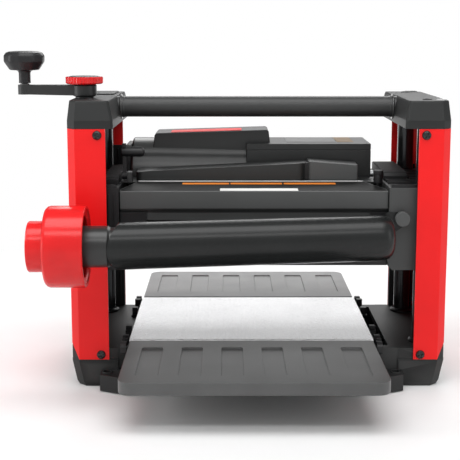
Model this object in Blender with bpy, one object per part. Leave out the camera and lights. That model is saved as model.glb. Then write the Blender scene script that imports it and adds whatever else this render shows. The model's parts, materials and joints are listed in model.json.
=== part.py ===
"""Benchtop thickness planer.

Sizes are in millimetres and the meshes are built in metres. X runs along the cutterhead, the
outfeed side faces -Y, the infeed side +Y, and Z is up from the surface that the base stands on.
The head is drawn at a 96.5 mm cut height.
"""

from math import cos, pi, sin, tan

import bmesh
import bpy
from mathutils import Matrix, Vector

MM = 0.001
GAP = 0.3  # between neighbouring pieces

# Base, posts and bed
HALF_WIDTH = 253.0  # outer face of each side panel
HALF_DEPTH = 128.0  # front and rear face of each side panel
CORNER = 10.5  # cut corner of the panels
SHEET = 2.5  # thickness of the side panels
PANEL_Z = (38.0, 350.0)
PANEL_SKIRT_Z = 59.0  # lower edge of the panel's outer face
FLANGE_EDGE = {-1: 202.0, 1: 210.0}  # inner edge of the panel's flanges, by side
PANEL_SCREW_X = {-1: -212.6, 1: 219.3}
PANEL_SCREW_Z = {"lower": 45.0, "upper": 342.0}
FOOT_INNER = 190.0
FOOT_TOP = PANEL_Z[0] - GAP  # where the foot stops under the panel
BASE_TOP = 53.0
BED_TOP = 65.0
BED_SHEET = 3.0
BED_X = (-174.7, 156.1)
BED_HALF_Y = 125.0
BED_CENTRE = (BED_X[0] + BED_X[1]) / 2
CAVITY_TOP = 44.0  # underside of the feet, inside
EAR_LOW = 1.0
EAR_TOP = 23.0
EAR_HOLE = 5.0
EAR_HOLE_AT = (194.5, 137.0)  # from the bed's centre

# Guide columns and lead screws
COLUMN_X = 225.5
COLUMN_Y = 88.0
COLUMN_R = 12.0
POST_TOP = 361.5  # of the columns and lead screws, in their caps
SCREW_X = 236.5
SCREW_Y = -56.0
SCREW_R = 7.0
NUT_R = 9.8
SPROCKET_R = 9.0
SPROCKET_Z = (42.5, 46.0)

# Caps and carry bar
CAP_INNER = 192.0
CAP_Z = (350.3, 361.0, 386.6)  # lower edge, start of the taper, top
CAP_TAPER = {"outer": 3.0, "ends": 8.0, "inner": 6.0}
BAR_R = 14.5
BAR_Z = 371.6

# Crank
ARM_Z = (391.0, 405.0)
CRANK_REACH = 81.0
CRANK_KNOB_R = 27.5

# Folding tables
TABLE_X = (BED_CENTRE - 164.0, BED_CENTRE + 164.0)
TABLE_Y = (129.0, 318.0)
TABLE_Z = (49.0, BED_TOP)
TABLE_CORNER = 17.0
HINGE_Y = 136.0
HINGE_Z = 57.0
PIN_R = 2.8
PAD_COUNT = 6
PAD_PITCH = 52.4
PAD_SIZE = 27.8
PAD_Y = (163.0, 290.0)
PAD_DEPTH = 2.2

# Head
HEAD_X = (-187.0, 175.0)  # inner faces of the two end castings
HEAD_Z = (158.0, 270.0)
HEAD_HALF_Y = 111.0
HEAD_OUTER = 248.5
GUARD_Z = 163.5  # lower edge of the outfeed and infeed guards
HOOD_Y = -105.0
CUTTER_YZ = (0.0, 185.5)
CUTTER_R = 22.5
KNIFE_R = 24.0
ROLLER_Y = 50.0
ROLLER_Z = 179.5
ROLLER_R = 19.0
WORK_X = (-172.0, 154.0)  # length of the drum and the rollers
MOTOR_YZ = (70.0, 266.0)
MOTOR_R = 52.5
BOX_X = (-13.9, 165.0)
BOX_Y = (18.0, 124.0)
BOX_Z = (213.3, 316.6)

# Belt drive at the right, feed drive at the left
BELT_X = (183.0, 196.5)
BELT_SLACK = 0.6  # between a wheel and the belt or chain around it
MOTOR_PULLEY_R = 10.0
CUTTER_PULLEY_R = 20.0
PINION_R = 5.0
FEED_GEAR_R = 38.0
FEED_GEAR_Z = CUTTER_YZ[1] + PINION_R + GAP + FEED_GEAR_R
FEED_GEAR_X = (-200.0, -194.5)
FEED_CHAIN_X = (-208.0, -202.5)
FEED_SPROCKET_R = 6.0
ROLLER_SPROCKET_R = 17.0

# Dust chute
CHUTE_R = 30.1
CHUTE_WALL = 2.8
CHUTE_Z = 208.2
CHUTE_LEFT = (-183.5, -202.0)  # x and y of the tube's centre at its open end
CHUTE_RIGHT = (178.0, -142.0)
CHUTE_STEPS = 24
NECK_X = 150.0
NECK_Z = (193.2, 223.2)
PORT_Y = -204.0
PORT_X = (-293.0, -271.0, -219.3)

# Colours
RED = (0.80, 0.035, 0.035)
DARK = (0.045, 0.047, 0.048)
GREY = (0.085, 0.090, 0.090)
BLACK = (0.012, 0.012, 0.013)
STEEL = (0.62, 0.63, 0.64)
BRIGHT = (0.80, 0.80, 0.80)
BRONZE = (0.50, 0.33, 0.16)
RUBBER = (0.020, 0.020, 0.020)

# Joint axis of each moving body; the frame stands at the origin
PIVOTS = {
    "frame": (0, 0, 0),
    "crank": (-SCREW_X, SCREW_Y, 0),
    "crank_handle": (-SCREW_X - CRANK_REACH, SCREW_Y, ARM_Z[1]),
    "right_screw": (SCREW_X, SCREW_Y, 0),
    "outfeed": (BED_CENTRE, -HINGE_Y, HINGE_Z),
    "infeed": (BED_CENTRE, HINGE_Y, HINGE_Z),
    "head": (0, 0, 0),
    "cutter": (0, *CUTTER_YZ),
    "motor": (0, *MOTOR_YZ),
    "feed_gear": (0, 0, FEED_GEAR_Z),
    "infeed_roller": (0, ROLLER_Y, ROLLER_Z),
    "outfeed_roller": (0, -ROLLER_Y, ROLLER_Z),
    "lock_lever": (-184, -50, 279),
    "chute_knob": (192, -120, 229.5),
    "hood_knob": (166, -60, 280),
    "switch": (120, 138, 299),
}
BODIES = {}


# Shapes: each function returns a closed bmesh in millimetres


def spot(axis, at, across, up, along):
    """A point from its distances across and along a turning axis."""
    x, y, z = at
    if axis == "X":
        return (x + along, y + across, z + up)
    if axis == "Y":
        return (x + across, y + along, z + up)
    return (x + across, y + up, z + along)


def skin(bm, rows, ring=False):
    """Faces between rows of points; a row of one point is a pole."""
    pairs = list(zip(rows, rows[1:]))
    if ring:
        pairs.append((rows[-1], rows[0]))
    for low, high in pairs:
        count = max(len(low), len(high))
        for k in range(count):
            n = (k + 1) % count
            corners = [low[k % len(low)], low[n % len(low)], high[n % len(high)], high[k % len(high)]]
            bm.faces.new(list(dict.fromkeys(corners)))
    if not ring:
        for end in (rows[0], rows[-1]):
            if len(end) > 2:
                bm.faces.new(end)
    bmesh.ops.recalc_face_normals(bm, faces=bm.faces)
    return bm


def turned(profile, axis, at, steps=20, ring=False):
    """Solid of revolution from (radius, distance along the axis) points."""
    bm = bmesh.new()
    rows = []
    for radius, along in profile:
        angles = [2 * pi * k / steps for k in range(steps)] if radius else [0]
        rows.append([bm.verts.new(spot(axis, at, radius * cos(a), radius * sin(a), along)) for a in angles])
    return skin(bm, rows, ring)


def rod(axis, at, radius, start, end, steps=20):
    return turned([(radius, start), (radius, end)], axis, at, steps)


def loft(sections):
    """Solid through rings of points that all have the same count."""
    bm = bmesh.new()
    return skin(bm, [[bm.verts.new(p) for p in section] for section in sections])


def prism(outline, axis, low, high):
    """Outline points extruded from low to high along an axis."""
    ends = []
    for along in (low, high):
        if axis == "X":
            ends.append([(along, a, b) for a, b in outline])
        elif axis == "Y":
            ends.append([(a, along, b) for a, b in outline])
        else:
            ends.append([(a, b, along) for a, b in outline])
    return loft(ends)


def box(x, y, z):
    return prism([(x[0], y[0]), (x[1], y[0]), (x[1], y[1]), (x[0], y[1])], "Z", z[0], z[1])


def rounded(corners, steps=4):
    """Outline whose corners are (x, y, radius), each drawn as an arc."""
    points = []
    count = len(corners)
    for k, (x, y, radius) in enumerate(corners):
        here = Vector((x, y))
        before = (Vector(corners[k - 1][:2]) - here).normalized()
        after = (Vector(corners[(k + 1) % count][:2]) - here).normalized()
        if not radius:
            points.append((x, y))
            continue
        half = before.angle(after) / 2
        centre = here + (before + after).normalized() * radius / sin(half)
        start = here + before * radius / tan(half) - centre
        finish = here + after * radius / tan(half) - centre
        turn = start.angle_signed(finish)
        for s in range(steps + 1):
            arm = start.copy()
            arm.rotate(Matrix.Rotation(-turn * s / steps, 2))
            points.append(tuple(centre + arm))
    return points


def belt_outline(circles, grow, steps=32):
    """Path of a belt around (x, y, radius) circles, grown outwards by a distance."""
    points = []
    for k in range(steps):
        out = (cos(2 * pi * k / steps), sin(2 * pi * k / steps))
        x, y, radius = max(circles, key=lambda c: c[0] * out[0] + c[1] * out[1] + c[2])
        points.append((x + (radius + grow) * out[0], y + (radius + grow) * out[1]))
    return points


def belt(circles, axis, low, high, slack, thick):
    """Closed band around wheels."""
    bm = bmesh.new()
    inner = belt_outline(circles, slack)
    outer = belt_outline(circles, slack + thick)
    rows = []
    for outline, along in ((inner, low), (outer, low), (outer, high), (inner, high)):
        if axis == "X":
            rows.append([bm.verts.new((along, a, b)) for a, b in outline])
        else:
            rows.append([bm.verts.new((a, b, along)) for a, b in outline])
    return skin(bm, rows, ring=True)


# Objects


def paint(name, colour, rough, metal):
    material = bpy.data.materials.new(name)
    material.use_nodes = True
    shader = material.node_tree.nodes["Principled BSDF"]
    shader.inputs["Base Color"].default_value = (*colour, 1)
    shader.inputs["Roughness"].default_value = rough
    shader.inputs["Metallic"].default_value = metal
    material.diffuse_color = (*colour, 1)
    return material


def body(name):
    """Empty on the body's joint axis, made the first time it is asked for."""
    if name not in BODIES:
        empty = bpy.data.objects.new("axis_" + name, None)
        empty.location = Vector(PIVOTS[name]) * MM
        empty.empty_display_size = 0.02
        bpy.context.collection.objects.link(empty)
        BODIES[name] = empty
    return BODIES[name]


def place(name, shape, owner):
    """Object from a shape, with its origin on its body's axis."""
    pivot = Vector(PIVOTS[owner])
    for vert in shape.verts:
        vert.co = (vert.co - pivot) * MM
    mesh = bpy.data.meshes.new(name)
    shape.to_mesh(mesh)
    shape.free()
    mesh.shade_smooth()
    mesh.set_sharp_from_angle(angle=pi / 6)
    thing = bpy.data.objects.new(name, mesh)
    bpy.context.collection.objects.link(thing)
    thing.parent = body(owner)
    return thing


def node(name, shape, owner, colour, rough=0.5, metal=0.0, add=(), cut=(), fill=()):
    """One piece: a shape, the shapes joined to it, those taken out of it, then those put in the holes."""
    thing = place(name, shape, owner)
    thing.data.materials.append(paint(name, colour, rough, metal))
    steps = [("UNION", tool) for tool in add]
    steps += [("DIFFERENCE", tool) for tool in cut]
    steps += [("UNION", tool) for tool in fill]
    for k, (operation, tool) in enumerate(steps):
        guide = place(f"{name}_{operation.lower()}_{k}", tool, owner)
        guide.hide_render = True
        guide.display_type = "WIRE"
        modifier = thing.modifiers.new(f"{operation.lower()} {k}", "BOOLEAN")
        modifier.operation = operation
        modifier.solver = "EXACT"
        modifier.object = guide


# Base, bed and posts


def foot_section(side, z, inset_x, inset_y):
    outer = HALF_WIDTH - inset_x
    deep = HALF_DEPTH - inset_y
    outline = [
        (FOOT_INNER, -deep), (outer - CORNER, -deep), (outer, CORNER - deep),
        (outer, deep - CORNER), (outer - CORNER, deep), (FOOT_INNER, deep),
    ]
    return [(side * x, y, z) for x, y in outline]


def foot(side):
    levels = [(0, 8.5, 4), (6, 5.5, 2.4), (FOOT_TOP - 3, 0, 0), (FOOT_TOP, 0, 0)]
    return loft([foot_section(side, *level) for level in levels])


def foot_core(side):
    """Upper part of the foot, inside the side panel."""
    inset = SHEET + 0.7
    return loft([foot_section(side, z, inset, inset) for z in (FOOT_TOP - 2, BASE_TOP)])


def foot_cheek(side):
    """Wedge that closes the space under the panel's slanting lower edge."""
    slope = (PANEL_SKIRT_Z - PANEL_Z[0]) / CORNER
    drop, inset = 0.9, 0.3
    outer = HALF_WIDTH - inset
    straight = HALF_DEPTH - CORNER - inset
    sections = []
    for z in (FOOT_TOP - 1.7, PANEL_SKIRT_Z - 3):
        out = (z + drop - PANEL_Z[0]) / slope
        x, deep = HALF_WIDTH - CORNER + out, HALF_DEPTH - inset - out
        corners = [(x, -deep), (outer, -straight), (outer, straight), (x, deep)]
        sections.append([(side * a, b, z) for a, b in corners])
    return loft(sections)


def ear(side, end):
    """Bolt-down ear at one corner of the base."""
    outline = [(203.5, 118), (203.5, 149), (165.5, 168), (152.8, 168), (143.8, 118)]
    return prism([(BED_CENTRE + side * x, end * y) for x, y in outline], "Z", EAR_LOW, EAR_TOP)


def base():
    corners = [(side, end) for side in (-1, 1) for end in (-1, 1)]
    inner = FOOT_INNER + 1
    add = [foot(1), box((-inner, inner), (-124, 124), (3, BASE_TOP))]
    add.append(box(BED_X, (-123.5, 123.5), (BASE_TOP - 2, BED_TOP - BED_SHEET - GAP)))
    add += [ear(side, end) for side, end in corners]
    for side in (-1, 1):
        add += [foot_core(side), foot_cheek(side)]
    cavity = (230, 112)
    slot_x = SCREW_X + SPROCKET_R + 2.9
    cut = [
        box((-cavity[0], cavity[0]), (-cavity[1], cavity[1]), (-1, CAVITY_TOP)),
        box((-178, 178), (-110, 110), (CAVITY_TOP - 1, 54)),
        box((-slot_x, slot_x), (SCREW_Y - 15, SCREW_Y + 15), (38, 48)),
    ]
    cut += [rod("Z", (side * SCREW_X, SCREW_Y, 0), SCREW_R + 0.5, 40, 60) for side in (-1, 1)]
    hole_x, hole_y = EAR_HOLE_AT
    for side, end in corners:
        cut.append(rod("Z", (BED_CENTRE + side * hole_x, end * hole_y, 0), EAR_HOLE, -1, 30, 16))
    cut += [rod("Y", (x, 0, PANEL_SCREW_Z["lower"]), 2.8, -130, -120, 12) for x in PANEL_SCREW_X.values()]
    node("base", foot(-1), "frame", GREY, 0.55, 0.2, add, cut)


def bottom_cover():
    node("bottom_cover", box((-229.5, 229.5), (-111.5, 111.5), (0, 2)), "frame", BLACK, 0.6, 0.5)


def bed_plate():
    z = (BED_TOP - BED_SHEET, BED_TOP)
    node("bed_plate", box(BED_X, (-BED_HALF_Y, BED_HALF_Y), z), "frame", BRIGHT, 0.25, 1.0)


def columns():
    ends = {"outfeed": -1, "infeed": 1}
    for side_name, side in (("left", -1), ("right", 1)):
        for end_name, end in ends.items():
            at = (side * COLUMN_X, end * COLUMN_Y, 0)
            profile = [(COLUMN_R - 1, BASE_TOP + GAP), (COLUMN_R, BASE_TOP + 1.5), (COLUMN_R, POST_TOP)]
            shape = turned(profile, "Z", at)
            node(f"column_{side_name}_{end_name}", shape, "frame", STEEL, 0.25, 1.0)


def panel_outline(side, inset):
    """Half of the channel's outline, from the outfeed flange's edge to the infeed one's."""
    x = HALF_WIDTH - inset
    y = HALF_DEPTH - inset
    cut = CORNER - inset * (2 - 2**0.5) / 2
    edge = FLANGE_EDGE[side]
    half = [(edge, -y), (x - cut, -y), (x, cut - y), (x, y - cut), (x - cut, y), (edge, y)]
    return [(side * a, b) for a, b in half]


def side_panel(name, side):
    outline = panel_outline(side, 0) + panel_outline(side, SHEET)[::-1]
    start = HALF_WIDTH - CORNER
    past = HALF_WIDTH + 7
    low, skirt = PANEL_Z[0], PANEL_SKIRT_Z
    slant = [(start, low - 8), (start, low - 0.1), (HALF_WIDTH, skirt), (past, skirt), (past, low - 8)]
    cut = [prism([(side * x, z) for x, z in slant], "Y", -135, 135)]
    cut += [rod("Y", (PANEL_SCREW_X[side], 0, z), 2.8, -130, -122, 12) for z in PANEL_SCREW_Z.values()]
    node(name, prism(outline, "Z", *PANEL_Z), "frame", RED, 0.35, 0.0, cut=cut)


def panel_screws():
    face = -HALF_DEPTH - GAP
    shank = [(0, face + 5.3), (2.4, face + 5.3), (2.4, face)]
    head = [(6, face), (6, face - 1.3), (4.3, face - 3), (0, face - 3.5)]
    for side_name, x in (("left", PANEL_SCREW_X[-1]), ("right", PANEL_SCREW_X[1])):
        for level, z in PANEL_SCREW_Z.items():
            shape = turned(shank + head, "Y", (x, 0, z), 10)
            node(f"panel_screw_{side_name}_{level}", shape, "frame", BLACK, 0.4, 0.8)


def cap_section(side, z, taper):
    """Section at z, drawn in by a share of the cap's taper."""
    x = HALF_WIDTH - CAP_TAPER["outer"] * taper
    y = HALF_DEPTH - CAP_TAPER["ends"] * taper
    inner = CAP_INNER + CAP_TAPER["inner"] * taper
    cut = CORNER - 1.1 * taper
    half = [(inner, 3.3 - y), (inner + 3.3, -y), (x - cut, -y), (x, cut - y)]
    outline = half + [(a, -b) for a, b in half[::-1]]
    return [(side * a, b, z) for a, b in outline]


def cap(name, side, add, cut):
    low, shoulder, top = CAP_Z
    edge = 2.0
    levels = [(low, 0), (shoulder, 0), (top - edge, 0.85), (top, 1)]
    shape = loft([cap_section(side, z, taper) for z, taper in levels])
    post = (low - 5, POST_TOP + 0.5)
    sockets = [rod("Z", (side * COLUMN_X, end * COLUMN_Y, 0), COLUMN_R + GAP, *post) for end in (-1, 1)]
    sockets.append(rod("Z", (side * SCREW_X, SCREW_Y, 0), SCREW_R + 0.5, *post))
    reach = sorted((side * (CAP_INNER - 5), side * 204))
    sockets.append(rod("X", (0, 0, BAR_Z), BAR_R + GAP, *reach))
    node(name, shape, "frame", GREY, 0.5, 0.2, add, sockets + cut)


def caps():
    cap("cap_left", -1, [], [rod("Z", (-SCREW_X, SCREW_Y, 0), 5.5, 360, 390)])
    raised_pad = box((227, 243), (98, 116), (384, CAP_Z[2] + 1.2))
    tool_pocket = rod("Z", (242, -106, 0), 7, 374, 390, 20)
    cap("cap_right", 1, [raised_pad], [tool_pocket])


def carry_bar():
    collar = BAR_R + 0.6
    end = -203.5
    seat = GAP - CAP_INNER
    # the collars seat against the caps, and the bar's ends sit in their sockets
    half = [(0, end), (BAR_R, end), (BAR_R, seat), (collar, seat), (collar, seat + 4), (BAR_R, seat + 4)]
    profile = half + [(r, -x) for r, x in half[::-1]]
    node("carry_bar", turned(profile, "X", (0, 0, BAR_Z), 20), "frame", GREY, 0.4, 0.6)


def lift_chain():
    wheels = [(side * SCREW_X, SCREW_Y, SPROCKET_R) for side in (-1, 1)]
    node("lift_chain", belt(wheels, "Z", 43, 45.5, BELT_SLACK, 1.5), "frame", STEEL, 0.4, 1.0)


def table_hinges():
    """Hinge arms at the bed's four corners, each with its pin pressed in."""
    spans = {"left": (BED_X[0] - 14.8, BED_X[0] - 0.5), "right": (BED_X[1] + 0.5, BED_X[1] + 14.9)}
    pins = {"left": (BED_X[0] - 8.3, BED_X[0] + 9.7), "right": (BED_X[1] - 9.1, BED_X[1] + 7.9)}
    top = BED_TOP - 0.5
    for side, span in spans.items():
        narrow = (span[0] + 1, span[1] - 1)
        for name, end in (("outfeed", -1), ("infeed", 1)):
            rail = box(span, sorted((end * 48, end * 128)), (BASE_TOP + GAP, 58))
            add = [box(span, sorted((end * 126, end * 143)), (49, top))]
            add += [box(narrow, sorted((end * a, end * b)), (56, top)) for a, b in ((100, 121), (50, 62))]
            add.append(rod("X", (0, end * HINGE_Y, HINGE_Z), PIN_R, *pins[side], 16))
            node(f"table_hinge_{side}_{name}", rail, "frame", BLACK, 0.5, 0.3, add)


# Lead screws and crank


def lead_screw_profile(top):
    low, high = SPROCKET_Z
    foot = [(0, 39), (4, 39), (4, low), (SPROCKET_R, low), (SPROCKET_R, high)]
    return foot + [(SCREW_R, high), (SCREW_R, POST_TOP)] + top


def lead_screws():
    spigot_top = ARM_Z[1] - 1.5
    left = lead_screw_profile([(5, POST_TOP), (5, spigot_top), (0, spigot_top)])
    right = lead_screw_profile([(0, POST_TOP)])
    for name, side, profile, owner in (("left", -1, left, "crank"), ("right", 1, right, "right_screw")):
        shape = turned(profile, "Z", (side * SCREW_X, SCREW_Y, 0), 16)
        node(f"lead_screw_{name}", shape, owner, STEEL, 0.3, 1.0)


def crank_arm():
    tip = -SCREW_X - CRANK_REACH
    low, high = ARM_Z
    hub = turned([(12, CAP_Z[2] + GAP), (12, low), (16, low), (16, high)], "Z", (-SCREW_X, SCREW_Y, 0), 20)
    plan = [(-SCREW_X, SCREW_Y - 10), (-SCREW_X, SCREW_Y + 10), (tip, SCREW_Y + 8), (tip, SCREW_Y - 8)]
    arm = prism(plan, "Z", low + 0.4, high - 0.4)
    end = rod("Z", (tip, SCREW_Y, 0), 9.5, low + 0.8, high - 0.8, 20)
    pin = rod("Z", (tip, SCREW_Y, 0), 4, 400, 438, 12)
    bore = rod("Z", (-SCREW_X, SCREW_Y, 0), 5.3, 380, 403.8, 16)
    node("crank_arm", hub, "crank", DARK, 0.45, 0.4, [arm, end, pin], [bore])


def crank_lock_knob():
    """Fluted disc that clamps the crank arm on the lead screw."""
    lobes = 12
    count = lobes * 3
    low, high = ARM_Z[1] + GAP, 415.5
    outline = []
    for k in range(count):
        turn = 2 * pi * k / count
        radius = 24.6 + 0.9 * cos(lobes * turn)
        outline.append((-SCREW_X + radius * cos(turn), SCREW_Y + radius * sin(turn)))
    node("crank_lock_knob", prism(outline, "Z", low, high), "crank", RED, 0.35)


def crank_knob():
    at = PIVOTS["crank_handle"]
    bore = [(0, 35), (4.4, 35), (4.4, 0.4)]
    stem = [(8.5, 0.4), (8.5, 20), (17, 23), (25.5, 28)]
    rim = [(CRANK_KNOB_R, 33), (CRANK_KNOB_R, 40), (24, 44), (0, 45)]
    node("crank_knob", turned(bore + stem + rim, "Z", at, 20), "crank_handle", BLACK, 0.4)


# Folding tables


def table(name, owner, end):
    low_x, high_x = TABLE_X
    near, far = (end * y for y in TABLE_Y)
    corner = TABLE_CORNER
    outline = [(low_x, near, 2), (high_x, near, 2), (high_x, far, corner), (low_x, far, corner)]
    top = prism(rounded(outline, 5), "Z", *TABLE_Z)
    wall = 5
    boss_x, boss_y = 12, 150
    below = [
        (low_x + wall, end * boss_y), (low_x + boss_x, end * boss_y), (low_x + boss_x, near + end * wall),
        (high_x - boss_x, near + end * wall), (high_x - boss_x, end * boss_y), (high_x - wall, end * boss_y),
        (high_x - wall, far - end * corner), (high_x - corner, far - end * wall),
        (low_x + corner, far - end * wall), (low_x + wall, far - end * corner),
    ]
    cut = [prism(below, "Z", TABLE_Z[0] - 1, TABLE_Z[1] - 5)]
    for k in range(PAD_COUNT):
        x = BED_CENTRE + (k - (PAD_COUNT - 1) / 2) * PAD_PITCH
        half = PAD_SIZE / 2
        y0, y1 = (end * y for y in PAD_Y)
        pad = rounded([(x - half, y0, 4), (x + half, y0, 4), (x + half, y1, 4), (x - half, y1, 4)], 2)
        cut.append(prism(pad, "Z", TABLE_Z[1] - PAD_DEPTH, TABLE_Z[1] + 1))
    at = (0, end * HINGE_Y, HINGE_Z)
    cut.append(rod("X", at, PIN_R + GAP, low_x - 1, low_x + 9.5, 16))
    cut.append(rod("X", at, PIN_R + GAP, high_x - 9.5, high_x + 1, 16))
    node(name, top, owner, GREY, 0.5, 0.3, cut=cut)


# Head


def head_end(name, side, inner, cut):
    low, high = HEAD_Z
    chamfer = 5.5
    face = inner + GAP
    outline = [(face, high), (face, low + chamfer), (inner + chamfer, low)]
    outline += [(HEAD_OUTER, low), (HEAD_OUTER, high)]
    bores = [rod("Z", (side * COLUMN_X, end * COLUMN_Y, 0), COLUMN_R + GAP, 150, 280) for end in (-1, 1)]
    bores.append(rod("Z", (side * SCREW_X, SCREW_Y, 0), NUT_R + GAP, 150, 280, 20))
    shape = prism([(side * x, z) for x, z in outline], "Y", -HEAD_HALF_Y, HEAD_HALF_Y)
    node(name, shape, "head", GREY, 0.5, 0.2, cut=bores + cut)


def head_ends():
    centre = (0, *CUTTER_YZ)
    rollers = [(0, end * ROLLER_Y, ROLLER_Z) for end in (-1, 1)]
    feed_room = box((-209, -192), (-72, 72), (159.5, 275))
    left = [feed_room, rod("X", centre, 8.3, -193, -180), rod("X", (0, 0, FEED_GEAR_Z), 4.3, -213, -180, 16)]
    left += [rod("X", at, 6.3, -193, -180, 16) for at in rollers]
    head_end("head_end_left", -1, -HEAD_X[0], left)
    belt_room = box((181.5, 206), (-34, 96), (160, 275))
    right = [belt_room, rod("X", centre, 8.3, 170, 183), rod("X", (0, *MOTOR_YZ), 8, 170, 183)]
    right += [rod("X", at, 6.3, 170, 179, 16) for at in rollers]
    right.append(rod("Y", (192, 0, 229.5), 3.4, -115, -104, 12))
    head_end("head_end_right", 1, HEAD_X[1], right)


def across_head(outline):
    return prism(outline, "X", HEAD_X[0] + GAP, HEAD_X[1] - GAP)


def hood_panel():
    front = HOOD_Y
    outline = [
        (front, 241), (front, 265), (-40, 269.5), (-40, 266.5), (front + 3, 262), (front + 3, 243),
        (-95, 237), (-95, 224), (-98, 224), (-98, 235.5),
    ]
    corners = []
    for edge, back in ((HEAD_X[0] - 1, -167.4), (HEAD_X[1] + 1, 149.0)):
        corners.append(prism([(edge, -95), (back, -38), (edge, -38)], "Z", 255, 275))
    corners.append(rod("Z", (166, -60, 0), 2.9, 260, 275, 12))
    node("hood_panel", across_head(outline), "head", GREY, 0.45, 0.2, cut=corners)


def guards():
    wall = 3
    for name, outer, end, lip, top in (("outfeed", HOOD_Y, -1, 13, 192.5), ("infeed", 121, 1, 21, 212.5)):
        inner = outer - end * wall
        tip = outer - end * lip
        low, ledge = GUARD_Z, GUARD_Z + wall
        outline = [(outer, low), (outer, top), (inner, top), (inner, ledge), (tip, ledge), (tip, low)]
        node(f"{name}_guard", across_head(outline), "head", GREY, 0.5, 0.2)


def head_deck():
    """Z-shaped sheet that closes the head behind the hood: top, step and shelf under the drive box."""
    sheet = 3.5
    front, step, back = -39.4, 14.5, 117.5
    top, shelf = HEAD_Z[1] - 0.5, BOX_Z[0] - GAP
    upper = [(front, top - sheet), (front, top), (step, top), (step, shelf)]
    inner = step - sheet
    lower = [(back, shelf), (back, shelf - sheet), (inner, shelf - sheet), (inner, top - sheet)]
    node("head_deck", across_head(upper + lower), "head", DARK, 0.5, 0.2)


def duct_cover():
    """Low cover over the chip channel, with a taller piece at its right."""
    front, back = -34, 9
    floor = HEAD_Z[1] - 0.2
    main = [(-170, floor), (-170, 286), (-150, 284), (62, 294.4), (74, floor)]
    side = [(70, floor), (76, 296.3), (141.5, 291.6), (141.5, floor)]
    hollow = [(-166, 260), (-166, 281), (60, 290), (76, 292), (138, 287.5), (138, 260)]
    node(
        "duct_cover", prism(main, "Y", front, back), "head", DARK, 0.45, 0.0,
        [prism(side, "Y", front + 3, back)], [prism(hollow, "Y", front + 5, back - 3)],
    )


def motor_housing():
    """Motor shell with the raised block on top of it."""
    shell = [
        (0, -182), (44, -182), (50, -179.5), (MOTOR_R, -175), (MOTOR_R, -14.3), (49.5, -14.3), (49.5, -174),
        (0, -176),
    ]
    block = [(-151, 312), (-146, 329.5), (18, 334.5), (22, 317), (-14.5, 317), (-14.5, 306), (-140, 306)]
    node(
        "motor_housing", turned(shell, "X", (0, *MOTOR_YZ), 28), "head", DARK, 0.4, 0.0,
        [prism(block, "Y", 36, 104)],
    )


def drive_box():
    wall = 3
    (x0, x1), (y0, y1), (z0, z1) = BOX_X, BOX_Y, BOX_Z
    inside = box((x0 + wall, x1 - wall), (y0 + wall, y1 - wall), (z0 - 5, z1 - wall))
    at = (0, *MOTOR_YZ)
    cut = [inside, rod("X", at, 30, -20, 0), rod("X", at, 8, 160, 175)]
    node("drive_box", box(BOX_X, BOX_Y, BOX_Z), "head", DARK, 0.45, 0.0, cut=cut)


def end_covers():
    """Ribbed covers over the belt at the right and the feed gears at the left."""
    belt_room = box((182, 205.5), (-33, 95), (260, 278.8))
    shaft_notch = rod("X", (0, *MOTOR_YZ), 8, 170, 184)
    ribs = [box((177.3, 209), (y, y + 4), (278, 283)) for y in range(-30, 90, 24)]
    shape = box((177.3, 209), (-37, 99), (HEAD_Z[1] + GAP, 281))
    node("belt_cover", shape, "head", BLACK, 0.5, 0.0, ribs, [belt_room, shaft_notch])
    ribs = [box((-212, -190.5), (y, y + 4), (275, 281)) for y in range(-68, 68, 24)]
    shape = box((-212, -190.5), (-75, 75), (HEAD_Z[1] + GAP, 277))
    node("gear_cover", shape, "head", BLACK, 0.5, 0.0, ribs)


def lift_nuts():
    for name, side in (("left", -1), ("right", 1)):
        top = HEAD_Z[1]
        bore = SCREW_R + 0.4
        flange = NUT_R + 2.5
        barrel = [(bore, top - 22), (NUT_R, top - 22), (NUT_R, top + GAP)]
        profile = barrel + [(flange, top + GAP), (flange, top + 4), (bore, top + 4)]
        shape = turned(profile, "Z", (side * SCREW_X, SCREW_Y, 0), 14, ring=True)
        node(f"lift_nut_{name}", shape, "head", BRONZE, 0.35, 1.0)


def chute_ring(x, radius):
    """Section of the slanting chute tube at x."""
    turns = [2 * pi * k / CHUTE_STEPS for k in range(CHUTE_STEPS)]
    return [(x, chute_y(x) + radius * cos(a), CHUTE_Z + radius * sin(a)) for a in turns]


def chute_y(x):
    (x0, y0), (x1, y1) = CHUTE_LEFT, CHUTE_RIGHT
    return y0 + (y1 - y0) * (x - x0) / (x1 - x0)


def neck(half_x, low, high, mouth):
    """Flat duct from the hood to the middle of the tube."""
    outline = [(-half_x, mouth), (half_x, mouth), (half_x, chute_y(half_x)), (-half_x, chute_y(-half_x))]
    return prism(outline, "Z", low, high)


def dust_chute():
    left, right = CHUTE_LEFT[0], CHUTE_RIGHT[0]
    dome = [(18, 0), (8, 1.6), (2.5, 6), (0, 14.1)]
    tube = [(left, CHUTE_R)] + [(right - back, CHUTE_R - drop) for back, drop in dome]
    bore = CHUTE_R - CHUTE_WALL
    lug = [(160, 216), (172, 238), (196, 238), (199, 224), (184, 214)]
    add = [
        neck(NECK_X, *NECK_Z, -98.6),
        prism(lug, "Y", -115.5, -111.5),
        box((160, 174), (-125, -111.5), (216, 228)),
    ]
    cut = [
        loft([chute_ring(left - 5, bore), chute_ring(right - 15, bore)]),
        neck(NECK_X - 3, NECK_Z[0] + 3, NECK_Z[1] - 3, -97),
        rod("Y", (192, 0, 229.5), 3.4, -118, -110, 12),
    ]
    node("dust_chute", loft([chute_ring(x, r) for x, r in tube]), "head", DARK, 0.35, 0.0, add, cut)


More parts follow.
